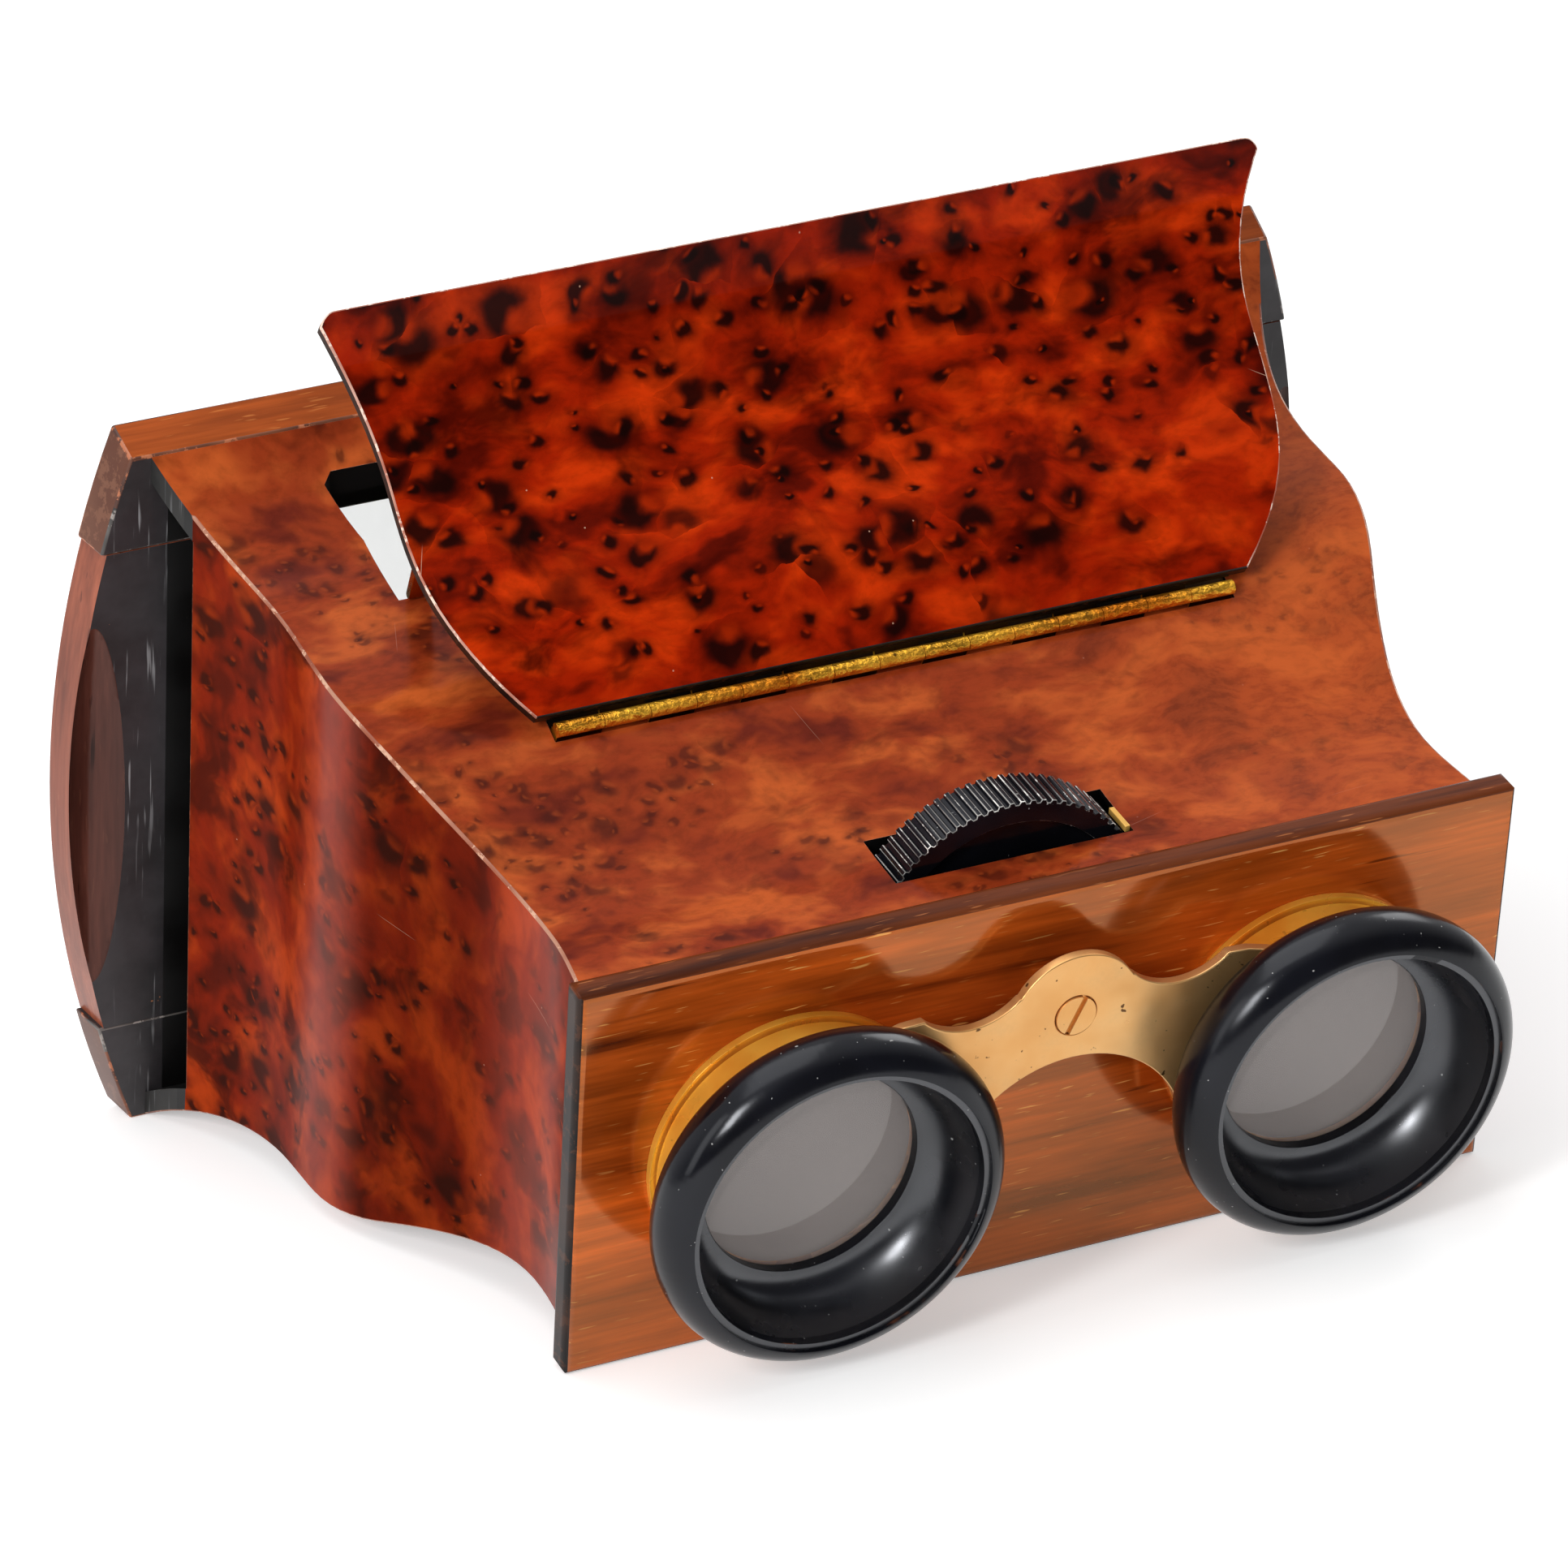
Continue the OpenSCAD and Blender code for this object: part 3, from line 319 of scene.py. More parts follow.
def dust(g, place, scale, size, rare):
    """Separate round specks, one at most in each cell."""
    away, _, chance = g.cells(place, scale)
    near = g.math("DIVIDE", g.vector_math("LENGTH", away), size)
    return g.times(g.ramp(near, (0.5, 1.0), (1.0, 0.0)), g.math("GREATER_THAN", chance[0], rare))


def burl(name, plane, light, middle, dark, knot, *, clouds, cloud_from, big, small, crowd, halo_share, gloss,
         knot_share=0.97, eye_share=0.35, haze=0.06, ripple=0.05, worn=0.5, pull=(1, 1.7, 1), soft=0.12,
         smoke=0.0, thicken=0.0, shine=None, shade=None, light_to_right=None):
    """Burl veneer: a clouded ground, soft dark smears and crowds of crescent knots.
    big and small are the knots' cells to the metre and their size in millimetres.
    smoke and thicken gather the smears and the knots towards the rear.
    shine ramps the coat from front to rear, and pales the ground where the coat is strong, a painted sheen.
    shade darkens the colour by a ramp from front to rear, painted shade.
    fade pales the colour from left to right, painted light."""
    g = Graph(name, LID if plane == "lid" else BODY)
    sheet = flat_place(g, plane)
    rearward = g.line(g.axis(g.place, "Y"), 1 / BODY_LENGTH, 0)
    drawn = g.stretch(g.warp(g.warp(sheet, 32, 11 * MM), 130, 3.2 * MM), pull)
    ground = g.ramp(g.noise(drawn, 62, 3, 0.55), (0.33, dark), (0.46, middle), (0.64, light))
    figure = g.noise(drawn, 420, 4, 0.65)
    ground = g.mix(0.5, ground, g.ramp(figure, (0.3, 0.55), (0.62, 1.0)), "MULTIPLY")

    clouded = g.noise(g.vector_math("ADD", drawn, (0.7, 0.4, 0)), 58, 4, 0.6, 0.4)
    clouded = g.math("ADD", clouded, g.line(rearward, smoke, -0.5 * smoke))
    smear = g.ramp(clouded, (cloud_from, 0.0), (cloud_from + soft, 1.0))
    deep = darker(dark, 0.32)
    ground = g.mix(g.times(smear, clouds), ground, deep)

    crooked = g.stretch(g.warp(g.warp(sheet, 150, 3.5 * MM), 420, 1.1 * MM), (0.86, 1.1, 1))
    for scale, size in (big, small):
        spot, halo, eye = knots(g, crooked, scale, size * MM, crowd, thicken)
        ground = g.mix(g.times(halo, halo_share), ground, deep)
        ground = g.mix(g.times(eye, eye_share), ground, light)
        ground = g.mix(g.times(spot, knot_share), ground, knot)

    hairlines = scratches(g, sheet, 42, 4 * MM, 0.07 * MM, 0.93)
    marks = g.math("MAXIMUM", hairlines, dust(g, sheet, 150, 0.16 * MM, 0.94))
    ground = g.mix(g.times(marks, worn), ground, srgb(226, 178, 150))
    # Painted shade: the shade ramp darkens the ground from front to rear; on the sides, between the front and
    # the ridge.
    if shade:
        ground = g.mix(1.0, ground, g.ramp(rearward, *shade), "MULTIPLY")
    # Painted light: the ground pales towards the top's right end.
    if light_to_right:
        lit_share = g.ramp(g.line(g.axis(g.place, "X"), 1 / BODY_WIDTH, 0.5), *light_to_right)
        ground = g.mix(g.times(lit_share, g.ramp(figure, (0.35, 0.6), (0.6, 1.0))), ground, light)
    coat = 1.0
    if shine:
        patches = g.noise(g.stretch(sheet, (1, 0.3, 1)), 50, 3)
        coat = g.times(g.ramp(rearward, *shine), g.ramp(patches, (0.25, 0.75), (0.7, 1.1)))
        # Painted sheen: the ground pales towards the light colour where the coat is strong, along the side's
        # ridge.
        ground = g.mix(g.times(coat, 0.3), ground, light)
    g.set(Base_Color=ground)
    varnish(g, haze, ripple, gloss, coat)
    return g.material


# Other materials

def rosewood(name, light, dark, streak, along=(1, 0, 0), haze=0.05, streak_share=0.75, gloss=1.3,
             depth=0.0, glow=None):
    """Straight-grained wood with short pale and dark pores along one axis.
    depth darkens broad bands, and glow tints what the fibres mirror."""
    def drawn(place, share):
        """place, drawn out along the grain."""
        return g.stretch(place, tuple(share if a else 1.0 for a in along))

    g = Graph(name)
    between = tuple((a + b) / 2 for a, b in zip(light, dark))
    bands = g.noise(drawn(g.warp(g.place, 18, 2 * MM), 0.05), 130, 5, 0.6, 0.3)
    ground = g.ramp(bands, (0.32, dark), (0.5, between), (0.68, light))
    fine = g.noise(drawn(g.place, 0.06), 1400, 2, 0.5)
    ground = g.mix(0.45, ground, g.ramp(fine, (0.3, 0.55), (0.7, 1.0)), "MULTIPLY")
    pores = g.noise(drawn(g.place, 0.09), 2100, 1, 0.4)
    room = g.noise(drawn(g.place, 0.3), 75, 2)
    pale = g.times(g.ramp(pores, (0.66, 0.0), (0.74, 1.0)), g.ramp(room, (0.4, 0.1), (0.6, streak_share)))
    ground = g.mix(pale, ground, streak)
    black = g.ramp(g.noise(drawn(g.place, 0.05), 900, 2), (0.67, 0.0), (0.75, 0.7))
    ground = g.mix(black, ground, darker(dark, 0.25))
    broad = g.noise(drawn(g.warp(g.place, 40, 6 * MM), 0.3), 55, 3, 0.6)
    ground = g.mix(depth, ground, g.ramp(broad, (0.36, 0.3), (0.58, 1.15)), "MULTIPLY")
    g.set(Base_Color=ground)
    varnish(g, haze, 0.03, gloss)
    if glow:
        g.set(IOR=2.25, Specular_IOR_Level=0.5, Specular_Tint=glow, Roughness=0.12)
    return g.material


def rubbed_edge(name, colour, pale, share, coat=0.4):
    """Rubbed wood along an edge, with pale chips."""
    g = Graph(name)
    chips = g.ramp(g.noise(g.place, 330, 4, 0.75), (0.52, 0.0), (0.6, 1.0))
    rubbed = g.ramp(g.noise(g.place, 90, 2), (0.35, 0.0), (0.65, share * 0.5))
    worn = g.math("MAXIMUM", g.times(chips, share), rubbed)
    g.set(Base_Color=g.mix(worn, colour, pale), Roughness=0.45, Specular_IOR_Level=0.2)
    g.set(Coat_Weight=coat, Coat_Roughness=0.2)
    return g.material


def blackened(name, colour, scratch_share):
    """Satin black stain with fine upright scratches, rubbed patches and chips.
    Near the middle, under the top panel's overhang, it is near black: painted shade.
    """
    g = Graph(name)
    lines = g.noise(g.stretch(g.place, (1, 1, 0.05)), 1500, 2)
    patches = g.ramp(g.noise(g.place, 60, 3, 0.6), (0.4, 0.0), (0.62, scratch_share))
    rubs = g.times(g.ramp(lines, (0.6, 0.0), (0.7, 1.0)), patches)
    smear = g.ramp(g.noise(g.place, 45, 5, 0.65), (0.3, 0.5), (0.7, 1.9))
    chips = g.ramp(g.noise(g.place, 300, 3, 0.7), (0.71, 0.0), (0.73, 1.0))
    ground = g.mix(1.0, colour, smear, "MULTIPLY")
    ground = g.mix(rubs, ground, srgb(160, 160, 162))
    ground = g.mix(chips, ground, srgb(170, 110, 70))
    # Painted shade: near black within this distance of the middle, under the top panel's overhang.
    shaded_under_top = g.math("LESS_THAN", g.math("ABSOLUTE", g.axis(g.place, "X")), SHADE_UNDER_TOP_X)
    g.set(Base_Color=g.mix(shaded_under_top, ground, srgb(7, 6, 6)), Specular_IOR_Level=0.4)
    g.set(Roughness=g.ramp(g.noise(g.place, 80, 3), (0.3, 0.32), (0.7, 0.5)))
    return g.material


def brass(name, light, deep, rough, pits=0.0, tarnish=0.3, metal=1.0, grain=0.08):
    """Lacquered brass with soft colour changes, a fine uneven grain and dark pits."""
    g = Graph(name)
    tone = g.ramp(g.noise(g.place, 40, 4, 0.6), (0.36, deep), (0.62, light))
    dull = g.ramp(g.noise(g.place, 160, 5, 0.65), (0.5, 0.0), (0.72, tarnish))
    colour = g.mix(dull, tone, darker(deep, 0.35))
    spots = g.ramp(g.noise(g.place, 620, 2, 0.6), (0.69, 0.0), (0.73, pits))
    g.set(Base_Color=g.mix(spots, colour, srgb(70, 38, 14)), Metallic=metal)
    g.set(Roughness=g.ramp(g.noise(g.place, 120, 3), (0.3, rough * 0.8), (0.7, rough * 1.3)))
    g.set(Normal=g.bump(g.noise(g.place, 900, 3), 1.0, grain * RELIEF))
    return g.material


def ebonite(name, rough, worn_share=0.0, gloss=1.42):
    """Turned and polished black hard rubber with dust and a little brown wear; gloss is its
    index of refraction."""
    g = Graph(name)
    ground = g.ramp(g.noise(g.place, 60, 3), (0.3, srgb(8, 8, 11)), (0.7, srgb(17, 18, 24)))
    specks = g.ramp(g.noise(g.place, 1500, 1), (0.77, 0.0), (0.8, 0.8))
    wear = g.ramp(g.noise(g.place, 130, 3, 0.6), (0.6, 0.0), (0.7, worn_share))
    ground = g.mix(specks, ground, srgb(170, 170, 168))
    ground = g.mix(wear, ground, srgb(120, 70, 45))
    g.set(Base_Color=ground, IOR=gloss, Specular_Tint=(0.93, 0.95, 1.0))
    g.set(Roughness=g.ramp(g.noise(g.place, 90, 4), (0.3, rough * 0.8), (0.7, rough * 1.4)))
    return g.material


def lens_glass(name):
    """Clear glass with a faint uneven haze."""
    g = Graph(name)
    g.set(Base_Color=srgb(248, 238, 234), Transmission_Weight=0.76, IOR=1.52)
    g.set(Roughness=g.ramp(g.noise(g.place, 300, 3), (0.4, 0.0), (0.8, 0.03)))
    return g.material


def frosted(name):
    """Ground glass: it lets light through and scatters it."""
    g = Graph(name)
    g.set(Base_Color=srgb(248, 249, 248), Transmission_Weight=0.86, IOR=1.3)
    g.set(Roughness=g.ramp(g.noise(g.place, 900, 2), (0.3, 0.4), (0.7, 0.55)))
    return g.material


def silvered(name):
    """Mirror silver with brownish spots."""
    g = Graph(name)
    spots = g.ramp(g.noise(g.place, 300, 4, 0.7), (0.62, 0.0), (0.72, 0.6))
    g.set(Base_Color=g.mix(spots, srgb(222, 224, 226), srgb(120, 110, 100)), Metallic=1.0, Roughness=0.06)
    return g.material


LID_BURL = burl("lid_burl", "lid", srgb(200, 53, 7), srgb(156, 30, 3), srgb(92, 14, 3), srgb(18, 5, 4),
                clouds=0.85, cloud_from=0.5, big=(112, 3.3), small=(180, 1.4), crowd=0.43,
                knot_share=0.93, halo_share=0.55, gloss=1.12, smoke=0.14, soft=0.26, thicken=0.35)
# The top pales towards its right end, painted light.
TOP_BURL = burl("top_burl", "top", srgb(189, 87, 37), srgb(146, 54, 23), srgb(104, 33, 18), srgb(66, 22, 14),
                clouds=0.4, cloud_from=0.56, big=(170, 1.7), small=(300, 0.9), crowd=0.51,
                knot_share=0.6, halo_share=0.3, eye_share=0.2, haze=0.16, ripple=0.04, worn=0.14, gloss=1.18,
                light_to_right=((0.5, 0.0), (0.95, 0.6)))
# On the sides the colour is darkened between the front and the ridge, painted shade, and paled along the
# ridge, a painted sheen.
SIDE_BURL = burl("side_burl", "side", srgb(172, 58, 14), srgb(122, 27, 5), srgb(70, 12, 4), srgb(13, 4, 3),
                 clouds=0.85, cloud_from=0.54, big=(98, 3.1), small=(210, 1.3), crowd=0.47,
                 halo_share=0.55, haze=0.22, worn=0.4, gloss=1.16, pull=(1.25, 0.9, 1),
                 shade=((0.22, 1.0), (0.34, 0.58), (0.49, 0.58), (0.58, 1.0)),
                 shine=((0.0, 0.9), (0.2, 0.95), (0.34, 0.2), (0.5, 0.2), (0.57, 1.0), (0.63, 0.8),
                        (0.72, 0.35), (1.0, 0.3)))
BOARD_WOOD = rosewood("board_wood", srgb(238, 108, 32), srgb(78, 24, 6), srgb(255, 190, 104),
                      gloss=1.14, depth=0.55, glow=(1.0, 0.42, 0.14))
BOARD_EDGE = rosewood("board_edge", srgb(138, 70, 36), srgb(62, 28, 16), srgb(196, 120, 70),
                      haze=0.2, streak_share=0.5, gloss=1.2)
RAIL_WOOD = rosewood("rail_wood", srgb(176, 82, 30), srgb(88, 34, 12), srgb(214, 132, 66),
                     haze=0.25, streak_share=0.4, gloss=1.18)
STILE_WOOD = rosewood("stile_wood", srgb(166, 90, 64), srgb(112, 54, 38), srgb(188, 116, 82),
                      along=(0, 0, 1), haze=0.25, streak_share=0.3)
# The scoop's bare wood, darkened further as painted shade in the hollow.
SCOOP_WOOD_SHADED = rosewood("scoop_wood_shaded", srgb(96, 56, 46), srgb(46, 24, 20), srgb(128, 84, 64),
                      along=(0, 0, 1), haze=0.15, streak_share=0.2)
# Both blacks carry painted shade near the middle, under the top panel's overhang.
STAIN_AND_SHADE_BLACK = blackened("black_stain_and_shade", srgb(42, 39, 41), 0.75)
INSIDE_BLACK = blackened("inside_black", srgb(26, 25, 24), 0.2)
BLACK_EDGE = rubbed_edge("black_edge", srgb(12, 8, 7), srgb(112, 66, 40), 0.3, 0.1)
END_GRAIN = rubbed_edge("end_grain", srgb(90, 50, 34), srgb(132, 88, 66), 0.5, 0.15)
WORN_TOP_EDGE = rubbed_edge("worn_top_edge", srgb(140, 66, 36), srgb(226, 180, 150), 0.75)
# Near-white rubbed edges on the wheel's ridges stand for the crests' highlights, a painted highlight.
WHEEL_RIDGE_HIGHLIGHT = rubbed_edge("wheel_ridge_painted_highlight", srgb(26, 26, 28), srgb(232, 230, 224), 1.0, 0.5)
WORN_LID_EDGE = rubbed_edge("worn_lid_edge", srgb(168, 78, 50), srgb(244, 214, 196), 1.0)
WORN_FRAME_EDGE = rubbed_edge("worn_frame_edge", srgb(70, 40, 30), srgb(206, 124, 84), 0.7)
SCUFFED_EDGE = rubbed_edge("scuffed_edge", srgb(30, 28, 28), srgb(170, 162, 156), 0.8)
HINGE_BRASS = brass("hinge_brass", srgb(255, 198, 64), srgb(206, 118, 22), 0.36, pits=0.8, tarnish=0.6,
                    metal=0.9, grain=30)
# Near-black brass on the hinge leaves beside the knuckles: painted shadow of the gap along the hinge.
SHADOW_BRASS = brass("brass_painted_shadow", srgb(70, 46, 18), srgb(28, 18, 10), 0.4, tarnish=0.6)
FITTING_BRASS = brass("fitting_brass", srgb(214, 160, 70), srgb(172, 116, 40), 0.25, pits=0.5)
STRIP_BRASS = brass("strip_brass", srgb(250, 212, 128), srgb(236, 186, 92), 0.5, metal=0.4)
BRIDGE_BRASS = brass("bridge_brass", srgb(236, 188, 126), srgb(222, 164, 98), 0.34, pits=0.9, tarnish=0.12,
                     metal=0.8)
TUBE_BRASS = brass("tube_brass", srgb(255, 200, 78), srgb(238, 156, 46), 0.28, pits=0.3, tarnish=0.1,
                   metal=0.6)
CUP_BLACK = ebonite("cup_black", 0.18, gloss=1.38)
BOWL_BLACK = ebonite("bowl_black", 0.26, gloss=1.85)
LIP_BLACK = ebonite("lip_black", 0.24, 0.8)
WHEEL_BLACK = ebonite("wheel_black", 0.16, gloss=1.36)
LENS = lens_glass("lens_glass")
GROUND_GLASS = frosted("ground_glass")
MIRROR = silvered("mirror_silver")


# Pieces

def own_mesh(node, axes):
    """A cleaned copy of a CAD node's mesh, in the given axes."""
    bm = bmesh.new()
    bm.from_mesh(frame["nodes"][node].data)
    bm.transform(axes.inverted())
    bmesh.ops.remove_doubles(bm, verts=bm.verts, dist=SAME_POINT)
    bmesh.ops.dissolve_limit(bm, angle_limit=SAME_PLANE, verts=bm.verts, edges=bm.edges)
    bmesh.ops.recalc_face_normals(bm, faces=bm.faces)
    return bm


def sharp_edges(bm, angle, keep):
    """The convex edges of more than angle degrees for which keep(middle, edge) is true."""
    chosen = []
    for e in bm.edges:
        if len(e.link_faces) == 2 and e.is_convex and e.calc_face_angle(0) > math.radians(angle):
            if keep((e.verts[0].co + e.verts[1].co) / 2, e):
                chosen.append(e)
    return chosen


def any_edge(at, e):
    return True


def dress(node, axes, body, materials, pick=None, *, bevel, segments=2, edge=None, keep=any_edge,
          first=None, pick_edge=None, clamp=True, angle=35, smooth=32, split_y=None):
    """Stands a finished piece in for a CAD node, with its edges rounded to bevel millimetres.
    pick(centre, normal) gives the material of a face, and pick_edge that of a rounded edge, which
    is otherwise edge or else its neighbour's. first is the width of a wider rounding, made before
    the other, and the test that keeps its edges. Edges that turn by more than angle degrees are
    rounded, and those that turn by more than smooth stay sharp. split_y cuts the faces there, so
    that the parts can differ in material."""
    bm = own_mesh(node, axes)
    if split_y:
        whole = bm.verts[:] + bm.edges[:] + bm.faces[:]
        bmesh.ops.bisect_plane(bm, geom=whole, plane_co=(0, split_y, 0), plane_no=(0, 1, 0))
    for f in bm.faces:
        f.material_index = materials.index(pick(f.calc_center_median(), f.normal)) if pick else 0
    edge_number = materials.index(edge) if edge else -1
    for width, test in [first, (bevel, keep)] if first else [(bevel, keep)]:
        edges = sharp_edges(bm, angle, test) if width else []
        rounded = bmesh.ops.bevel(bm, geom=edges, offset=width * MM, segments=segments, profile=0.5,
                                  affect="EDGES", clamp_overlap=clamp, material=edge_number)
        if pick_edge:
            for f in rounded["faces"]:
                f.material_index = materials.index(pick_edge(f.calc_center_median(), f.normal))
    bm.transform(axes)
    mesh = bpy.data.meshes.new("dressed_" + node)
    bm.to_mesh(mesh)
    bm.free()
    for m in materials:
        mesh.materials.append(m)
    mesh.shade_smooth()
    mesh.set_sharp_from_angle(angle=math.radians(smooth))
    piece = bpy.data.objects.new("dressed_" + node, mesh)
    bpy.context.scene.collection.objects.link(piece)
    weigh = piece.modifiers.new("weighted_normals", "WEIGHTED_NORMAL")
    weigh.keep_sharp = True
    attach(piece, body)
    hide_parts(node)


def outward(at, normal):
    """True for a face that looks away from the middle of the body."""
    return normal.x * at.x > 0 and abs(normal.x) > 0.5


def edge_above(at, e):
    """True for an edge of a face that looks up."""
    return any(f.normal.z > UPWARD for f in e.link_faces)


def edge_below(at, e):
    """True for an edge of a face that looks down."""
    return any(f.normal.z < -UPWARD for f in e.link_faces)


def edge_in_front_or_behind(at, e):
    """True for an edge of a face that looks along the optical axis."""
    return any(abs(f.normal.y) > 0.5 for f in e.link_faces)


def dress_body():
    def top_face(at, n):
        if n.z > UPWARD and at.z > TOP_LOWEST_Z:
            return TOP_BURL
        if outward(at, n) and abs(at.x) > OUTLINE_X and at.y < SIDE_END_Y:
            return SIDE_BURL
        return INSIDE_BLACK

    def outline_edge(at, e):
        return abs(at.x) > OUTLINE_X and SIDE_END_Y > at.y > BOARD_BACK_Y and edge_above(at, e)

    def opening_edge(at, e):
        return abs(at.x) < OPENINGS_X and TOP_LOWEST_Z < at.z and edge_above(at, e)

    dress("top_panel", BODY, "body", [TOP_BURL, SIDE_BURL, INSIDE_BLACK, WORN_TOP_EDGE], top_face,
          bevel=0.2, edge=WORN_TOP_EDGE, keep=opening_edge, first=(0.38, outline_edge), split_y=SIDE_END_Y)

    def bottom_face(at, n):
        if n.z < -UPWARD or (outward(at, n) and at.y < SIDE_END_Y):
            return SIDE_BURL
        return INSIDE_BLACK

    dress("bottom_panel", BODY, "body", [SIDE_BURL, INSIDE_BLACK, WORN_TOP_EDGE], bottom_face,
          bevel=0.25, edge=WORN_TOP_EDGE, keep=edge_below, split_y=SIDE_END_Y)

    def side_face(at, n):
        if n.y > 0.9:
            return STAIN_AND_SHADE_BLACK
        return SIDE_BURL if outward(at, n) else INSIDE_BLACK

    def rear_outer_edge(at, e):
        one, other = [f.normal for f in e.link_faces]
        steeper = one if abs(one.x) > abs(other.x) else other
        return at.y > SIDE_END_Y - 1 * MM and outward(at, steeper)

    for side in ("left_side", "right_side"):
        dress(side, BODY, "body", [SIDE_BURL, INSIDE_BLACK, STAIN_AND_SHADE_BLACK, WORN_FRAME_EDGE],
              side_face, bevel=0.2, edge=WORN_FRAME_EDGE, keep=rear_outer_edge)

    def board_face(at, n):
        if abs(n.y) > 0.85:
            return BOARD_WOOD
        return BOARD_EDGE if abs(n.z) > 0.5 else BLACK_EDGE

    dress("septum", BODY, "body", [INSIDE_BLACK], bevel=0.2)
    dress("lens_board", BODY, "body", [BOARD_WOOD, BOARD_EDGE, BLACK_EDGE], board_face, bevel=0)


def dress_rear_frame():
    def rail_face(at, n):
        if n.y < -0.9 and at.y < FRAME_FRONT_Y + 1 * MM:
            return STAIN_AND_SHADE_BLACK
        if abs(n.x) > 0.5:
            return END_GRAIN
        return STAIN_AND_SHADE_BLACK if abs(at.z) < WINDOW_Z and abs(n.z) > 0.5 else RAIL_WOOD

    def rail_edge(at, n):
        return SCUFFED_EDGE if abs(at.z) < SLOT_Z and at.y < FRAME_FRONT_Y + 2 * MM else WORN_FRAME_EDGE

    for rail in ("rear_top_rail", "rear_bottom_rail"):
        dress(rail, BODY, "body",
              [RAIL_WOOD, STAIN_AND_SHADE_BLACK, END_GRAIN, WORN_FRAME_EDGE, SCUFFED_EDGE], rail_face,
              bevel=0.35, edge=WORN_FRAME_EDGE, pick_edge=rail_edge)

    def stile_face(at, n):
        if n.y < -0.999 and at.y < FRAME_FRONT_Y + 0.05 * MM:
            return STAIN_AND_SHADE_BLACK
        # The finger scoop takes the darkened wood, painted shade in the hollow.
        if n.y < -0.6 and abs(at.z) < SCOOP_Z and at.y < FRAME_FRONT_Y + SCOOP_DEPTH:
            return SCOOP_WOOD_SHADED
        return STAIN_AND_SHADE_BLACK if abs(at.x) < STILE_INSIDE_X and abs(n.x) > 0.5 else STILE_WOOD

    def stile_edge(at, n):
        return SCUFFED_EDGE if abs(at.x) < STILE_RUBBED_X or abs(n.z) > 0.5 else WORN_FRAME_EDGE

    for stile in ("rear_left_stile", "rear_right_stile"):
        dress(stile, BODY, "body",
              [STILE_WOOD, STAIN_AND_SHADE_BLACK, SCOOP_WOOD_SHADED, WORN_FRAME_EDGE, SCUFFED_EDGE], stile_face,
              bevel=0.3, edge=WORN_FRAME_EDGE, pick_edge=stile_edge)
    dress("rear_glass", BODY, "body", [GROUND_GLASS], bevel=0.1)
    dress("glass_beads", BODY, "body", [RAIL_WOOD], bevel=0.2)


def dress_lid():
    def lid_face(at, n):
        if abs(n.z) > UPWARD:
            return LID_BURL if n.z > 0 else INSIDE_BLACK
        return BLACK_EDGE

    def lid_edge(at, n):
        return WORN_LID_EDGE if at.y > HINGE.y + 2 * MM else INSIDE_BLACK

    dress("lid", LID, "lid", [LID_BURL, INSIDE_BLACK, WORN_LID_EDGE, BLACK_EDGE], lid_face,
          bevel=0.26, edge=WORN_LID_EDGE, keep=edge_above, pick_edge=lid_edge, clamp=False)
    dress("lid_mirror", LID, "lid", [MIRROR], bevel=0.15)


def dress_hinge():
    def knuckle(at, n):
        out = Vector((at.y - HINGE.y, at.z - HINGE.z)).length
        # Leaf faces away from the knuckles take the near-black brass, painted shadow.
        return HINGE_BRASS if out < KNUCKLE_RADIUS else SHADOW_BRASS

    for axes, body in ((LID, "lid"), (BODY, "body")):
        dress(f"hinge_{body}_leaf", axes, body, [HINGE_BRASS, SHADOW_BRASS], knuckle, bevel=0.08)
        dress(f"hinge_{body}_screws", axes, body, [HINGE_BRASS], bevel=0.06)
    dress("hinge_pin", BODY, "body", [HINGE_BRASS], bevel=0.1)


def dress_prop():
    dress("prop_bracket", LID, "lid", [FITTING_BRASS], bevel=0.08)
    dress("prop_pin", LID, "lid", [FITTING_BRASS], bevel=0.06)
    dress("lid_prop", BODY, "prop", [FITTING_BRASS], bevel=0.12)


def dress_focusing():
    # The wheel's rounded ridge edges take the near-white edge colour, a painted highlight.
    dress("focus_wheel", BODY, "wheel", [WHEEL_BLACK, WHEEL_RIDGE_HIGHLIGHT],
          bevel=0.1, segments=1, edge=WHEEL_RIDGE_HIGHLIGHT, angle=25, smooth=40)
    dress("slot_strip", BODY, "body", [STRIP_BRASS], bevel=0.12)
    for node, body in (("wheel_hub", "wheel"), ("wheel_bracket", "body"), ("bracket_screws", "body"),
                       ("focus_spindle", "eyepieces")):
        dress(node, BODY, body, [FITTING_BRASS], bevel=0.12)
    dress("bridge_screw", BODY, "eyepieces", [BRIDGE_BRASS], bevel=0.12)
    dress("bridge_plate", BODY, "eyepieces", [BRIDGE_BRASS],
          bevel=0.25, segments=3, keep=edge_in_front_or_behind)


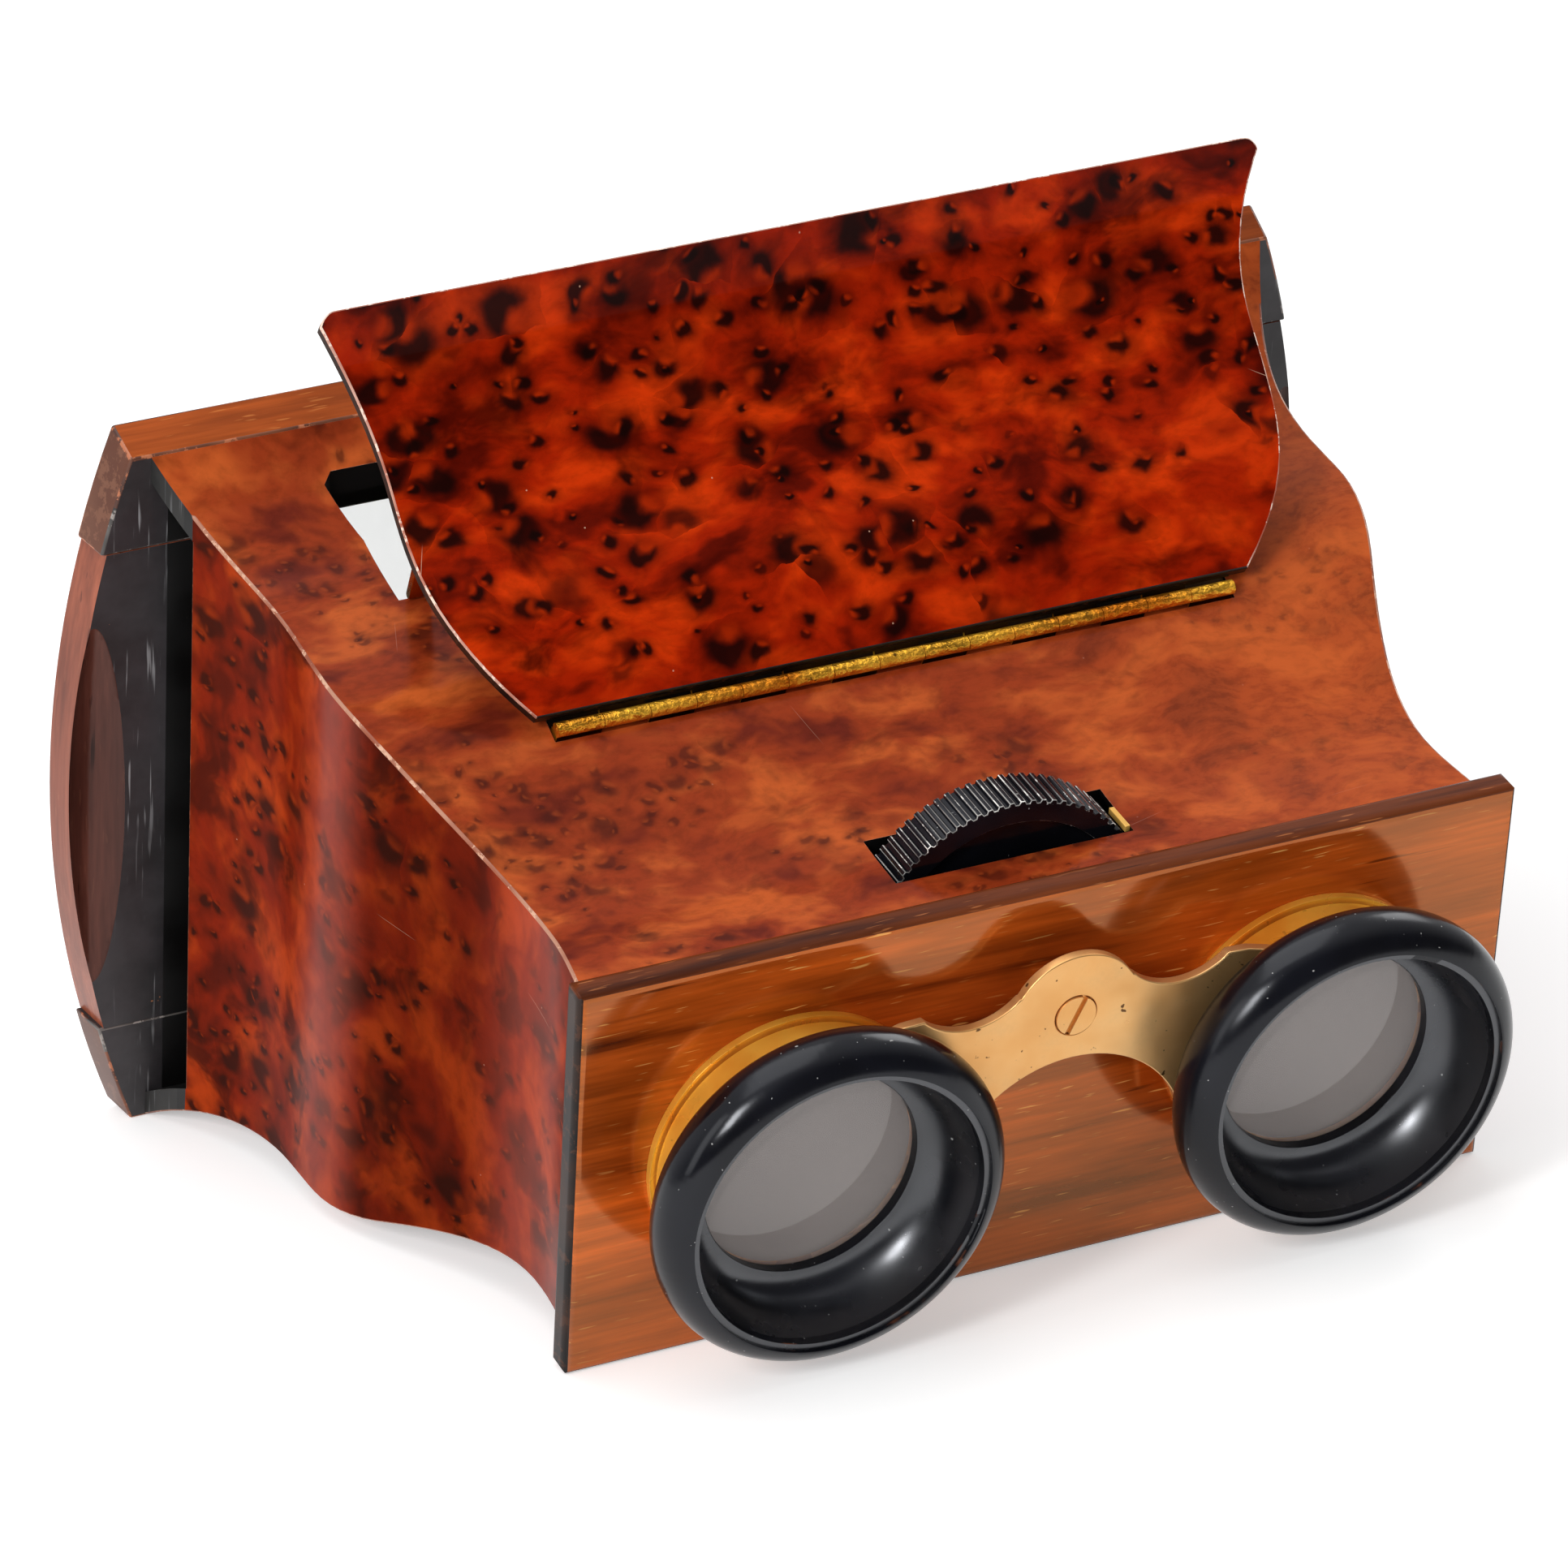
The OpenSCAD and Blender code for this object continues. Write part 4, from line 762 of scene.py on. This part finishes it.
def dress_eyepieces():
    def cup_face(at, n):
        out = Vector((at.x, at.z)).length
        if CUP_BORE_RADIUS < out < CUP_LIP_RADIUS and at.y < CUP_LIP_Y:
            return LIP_BLACK
        return BOWL_BLACK if out < CUP_BORE_RADIUS and n.y < 0 else CUP_BLACK

    def tube_face(at, n):
        out = Vector((at.x, at.z)).length
        return INSIDE_BLACK if at.x * n.x + at.z * n.z < -0.5 * out else TUBE_BRASS

    for side, x in (("left", -LENS_X), ("right", LENS_X)):
        axes = BODY @ Matrix.Translation((x, 0, 0))
        for node, body in (("draw_tube", "eyepieces"), ("sleeve", "body"), ("sleeve_nut", "body")):
            dress(f"{side}_{node}", axes, body, [TUBE_BRASS, INSIDE_BLACK], tube_face,
                  bevel=0.12)
        dress(f"{side}_eyecup", axes, "eyepieces", [CUP_BLACK, LIP_BLACK, BOWL_BLACK],
              cup_face, bevel=0.15, angle=30)
        dress(f"{side}_lens", axes, "eyepieces", [LENS], bevel=0.1)


# Studio

def make_floor():
    """A pale floor that keeps the shadow; seen directly, mirrored or through glass, it also glows."""
    bpy.ops.mesh.primitive_plane_add(size=FLOOR_SIZE)
    floor = bpy.context.object
    floor.name = "floor"
    g = Graph("floor_white")
    g.set(Base_Color=PALE, Roughness=0.6, Specular_IOR_Level=0.1)
    plain = g.shader.outputs[0]
    glow = g.node("ShaderNodeEmission", {"Strength": FLOOR_GLOW}).outputs[0]
    glowing = g.node("ShaderNodeAddShader", {0: plain, 1: glow}).outputs[0]
    rays = g.node("ShaderNodeLightPath").outputs
    mirrored_or_through = g.math("MAXIMUM", rays["Is Glossy Ray"], rays["Is Transmission Ray"])
    seen = g.math("MAXIMUM", rays["Is Camera Ray"], mirrored_or_through)
    g.put(g.out.inputs["Surface"], g.mix_shaders(seen, plain, glowing))
    floor.data.materials.append(g.material)


def make_world():
    """Pale to the camera and through glass, soft where it lights the object, and in gloss bright
    above and behind and dim towards the front."""
    world = bpy.data.worlds.new("studio")
    bpy.context.scene.world = world
    world.use_nodes = True
    g = Nodes(world.node_tree)
    way = g.node("ShaderNodeTexCoord").outputs["Generated"]
    up_or_back = g.math("ADD", g.axis(way, "Y"), g.axis(way, "Z"))
    tint = g.ramp(up_or_back, (0.0, (0.07, 0.07, 0.08)), (0.75, (0.75, 0.75, 0.77)), smooth=False)
    backdrop = g.node("ShaderNodeBackground", {"Color": PALE}).outputs[0]
    room = g.node("ShaderNodeBackground", {"Color": PALE, "Strength": ROOM_LIGHT}).outputs[0]
    gloss = g.node("ShaderNodeBackground", {"Color": tint}).outputs[0]
    rays = g.node("ShaderNodeLightPath").outputs
    lit = g.mix_shaders(rays["Is Glossy Ray"], room, gloss)
    seen = g.math("MAXIMUM", rays["Is Camera Ray"], rays["Is Transmission Ray"])
    g.node("ShaderNodeOutputWorld", {"Surface": g.mix_shaders(seen, lit, backdrop)})


def soft_box(name, at, towards, size, power):
    """A rectangular lamp of that size in metres and that power in watts."""
    lamp = bpy.data.lights.new(name, "AREA")
    lamp.shape = "RECTANGLE"
    lamp.size, lamp.size_y = size
    lamp.energy = power
    box = bpy.data.objects.new(name, lamp)
    bpy.context.scene.collection.objects.link(box)
    box.location = at
    box.rotation_mode = "QUATERNION"
    box.rotation_quaternion = (Vector(towards) - Vector(at)).to_track_quat("-Z", "Y")


def make_lights():
    middle = (0, 0, 0.06)
    soft_box("overhead", (-0.25, 0.1, 1.35), middle, (1.3, 1.0), 7)
    soft_box("left", (-1.3, -0.25, 0.55), middle, (0.35, 0.9), 2)
    soft_box("front", (-1.1, -0.8, 0.85), middle, (0.3, 0.5), 12)
    soft_box("right", (1.0, 0.45, 0.9), middle, (0.5, 0.5), 3)


def make_camera():
    data = bpy.data.cameras.new("camera")
    camera = bpy.data.objects.new("camera", data)
    bpy.context.scene.collection.objects.link(camera)
    bpy.context.scene.camera = camera
    data.sensor_width = SENSOR_MM
    data.lens = SENSOR_MM * FOCAL_PX / PHOTO_PX
    data.clip_start = NEAREST_SEEN
    data.clip_end = FARTHEST_SEEN
    camera.rotation_mode = "QUATERNION"
    camera.location = CAMERA_AT
    level = CAMERA_TOWARDS.to_track_quat("-Z", "Y")
    camera.rotation_quaternion = level @ Quaternion((0, 0, 1), CAMERA_ROLL)


dress_body()
dress_rear_frame()
dress_lid()
dress_hinge()
dress_prop()
dress_focusing()
dress_eyepieces()
make_floor()
make_world()
make_lights()
make_camera()
bpy.context.scene.view_settings.view_transform = "Standard"

bpy.context.view_layer.update()
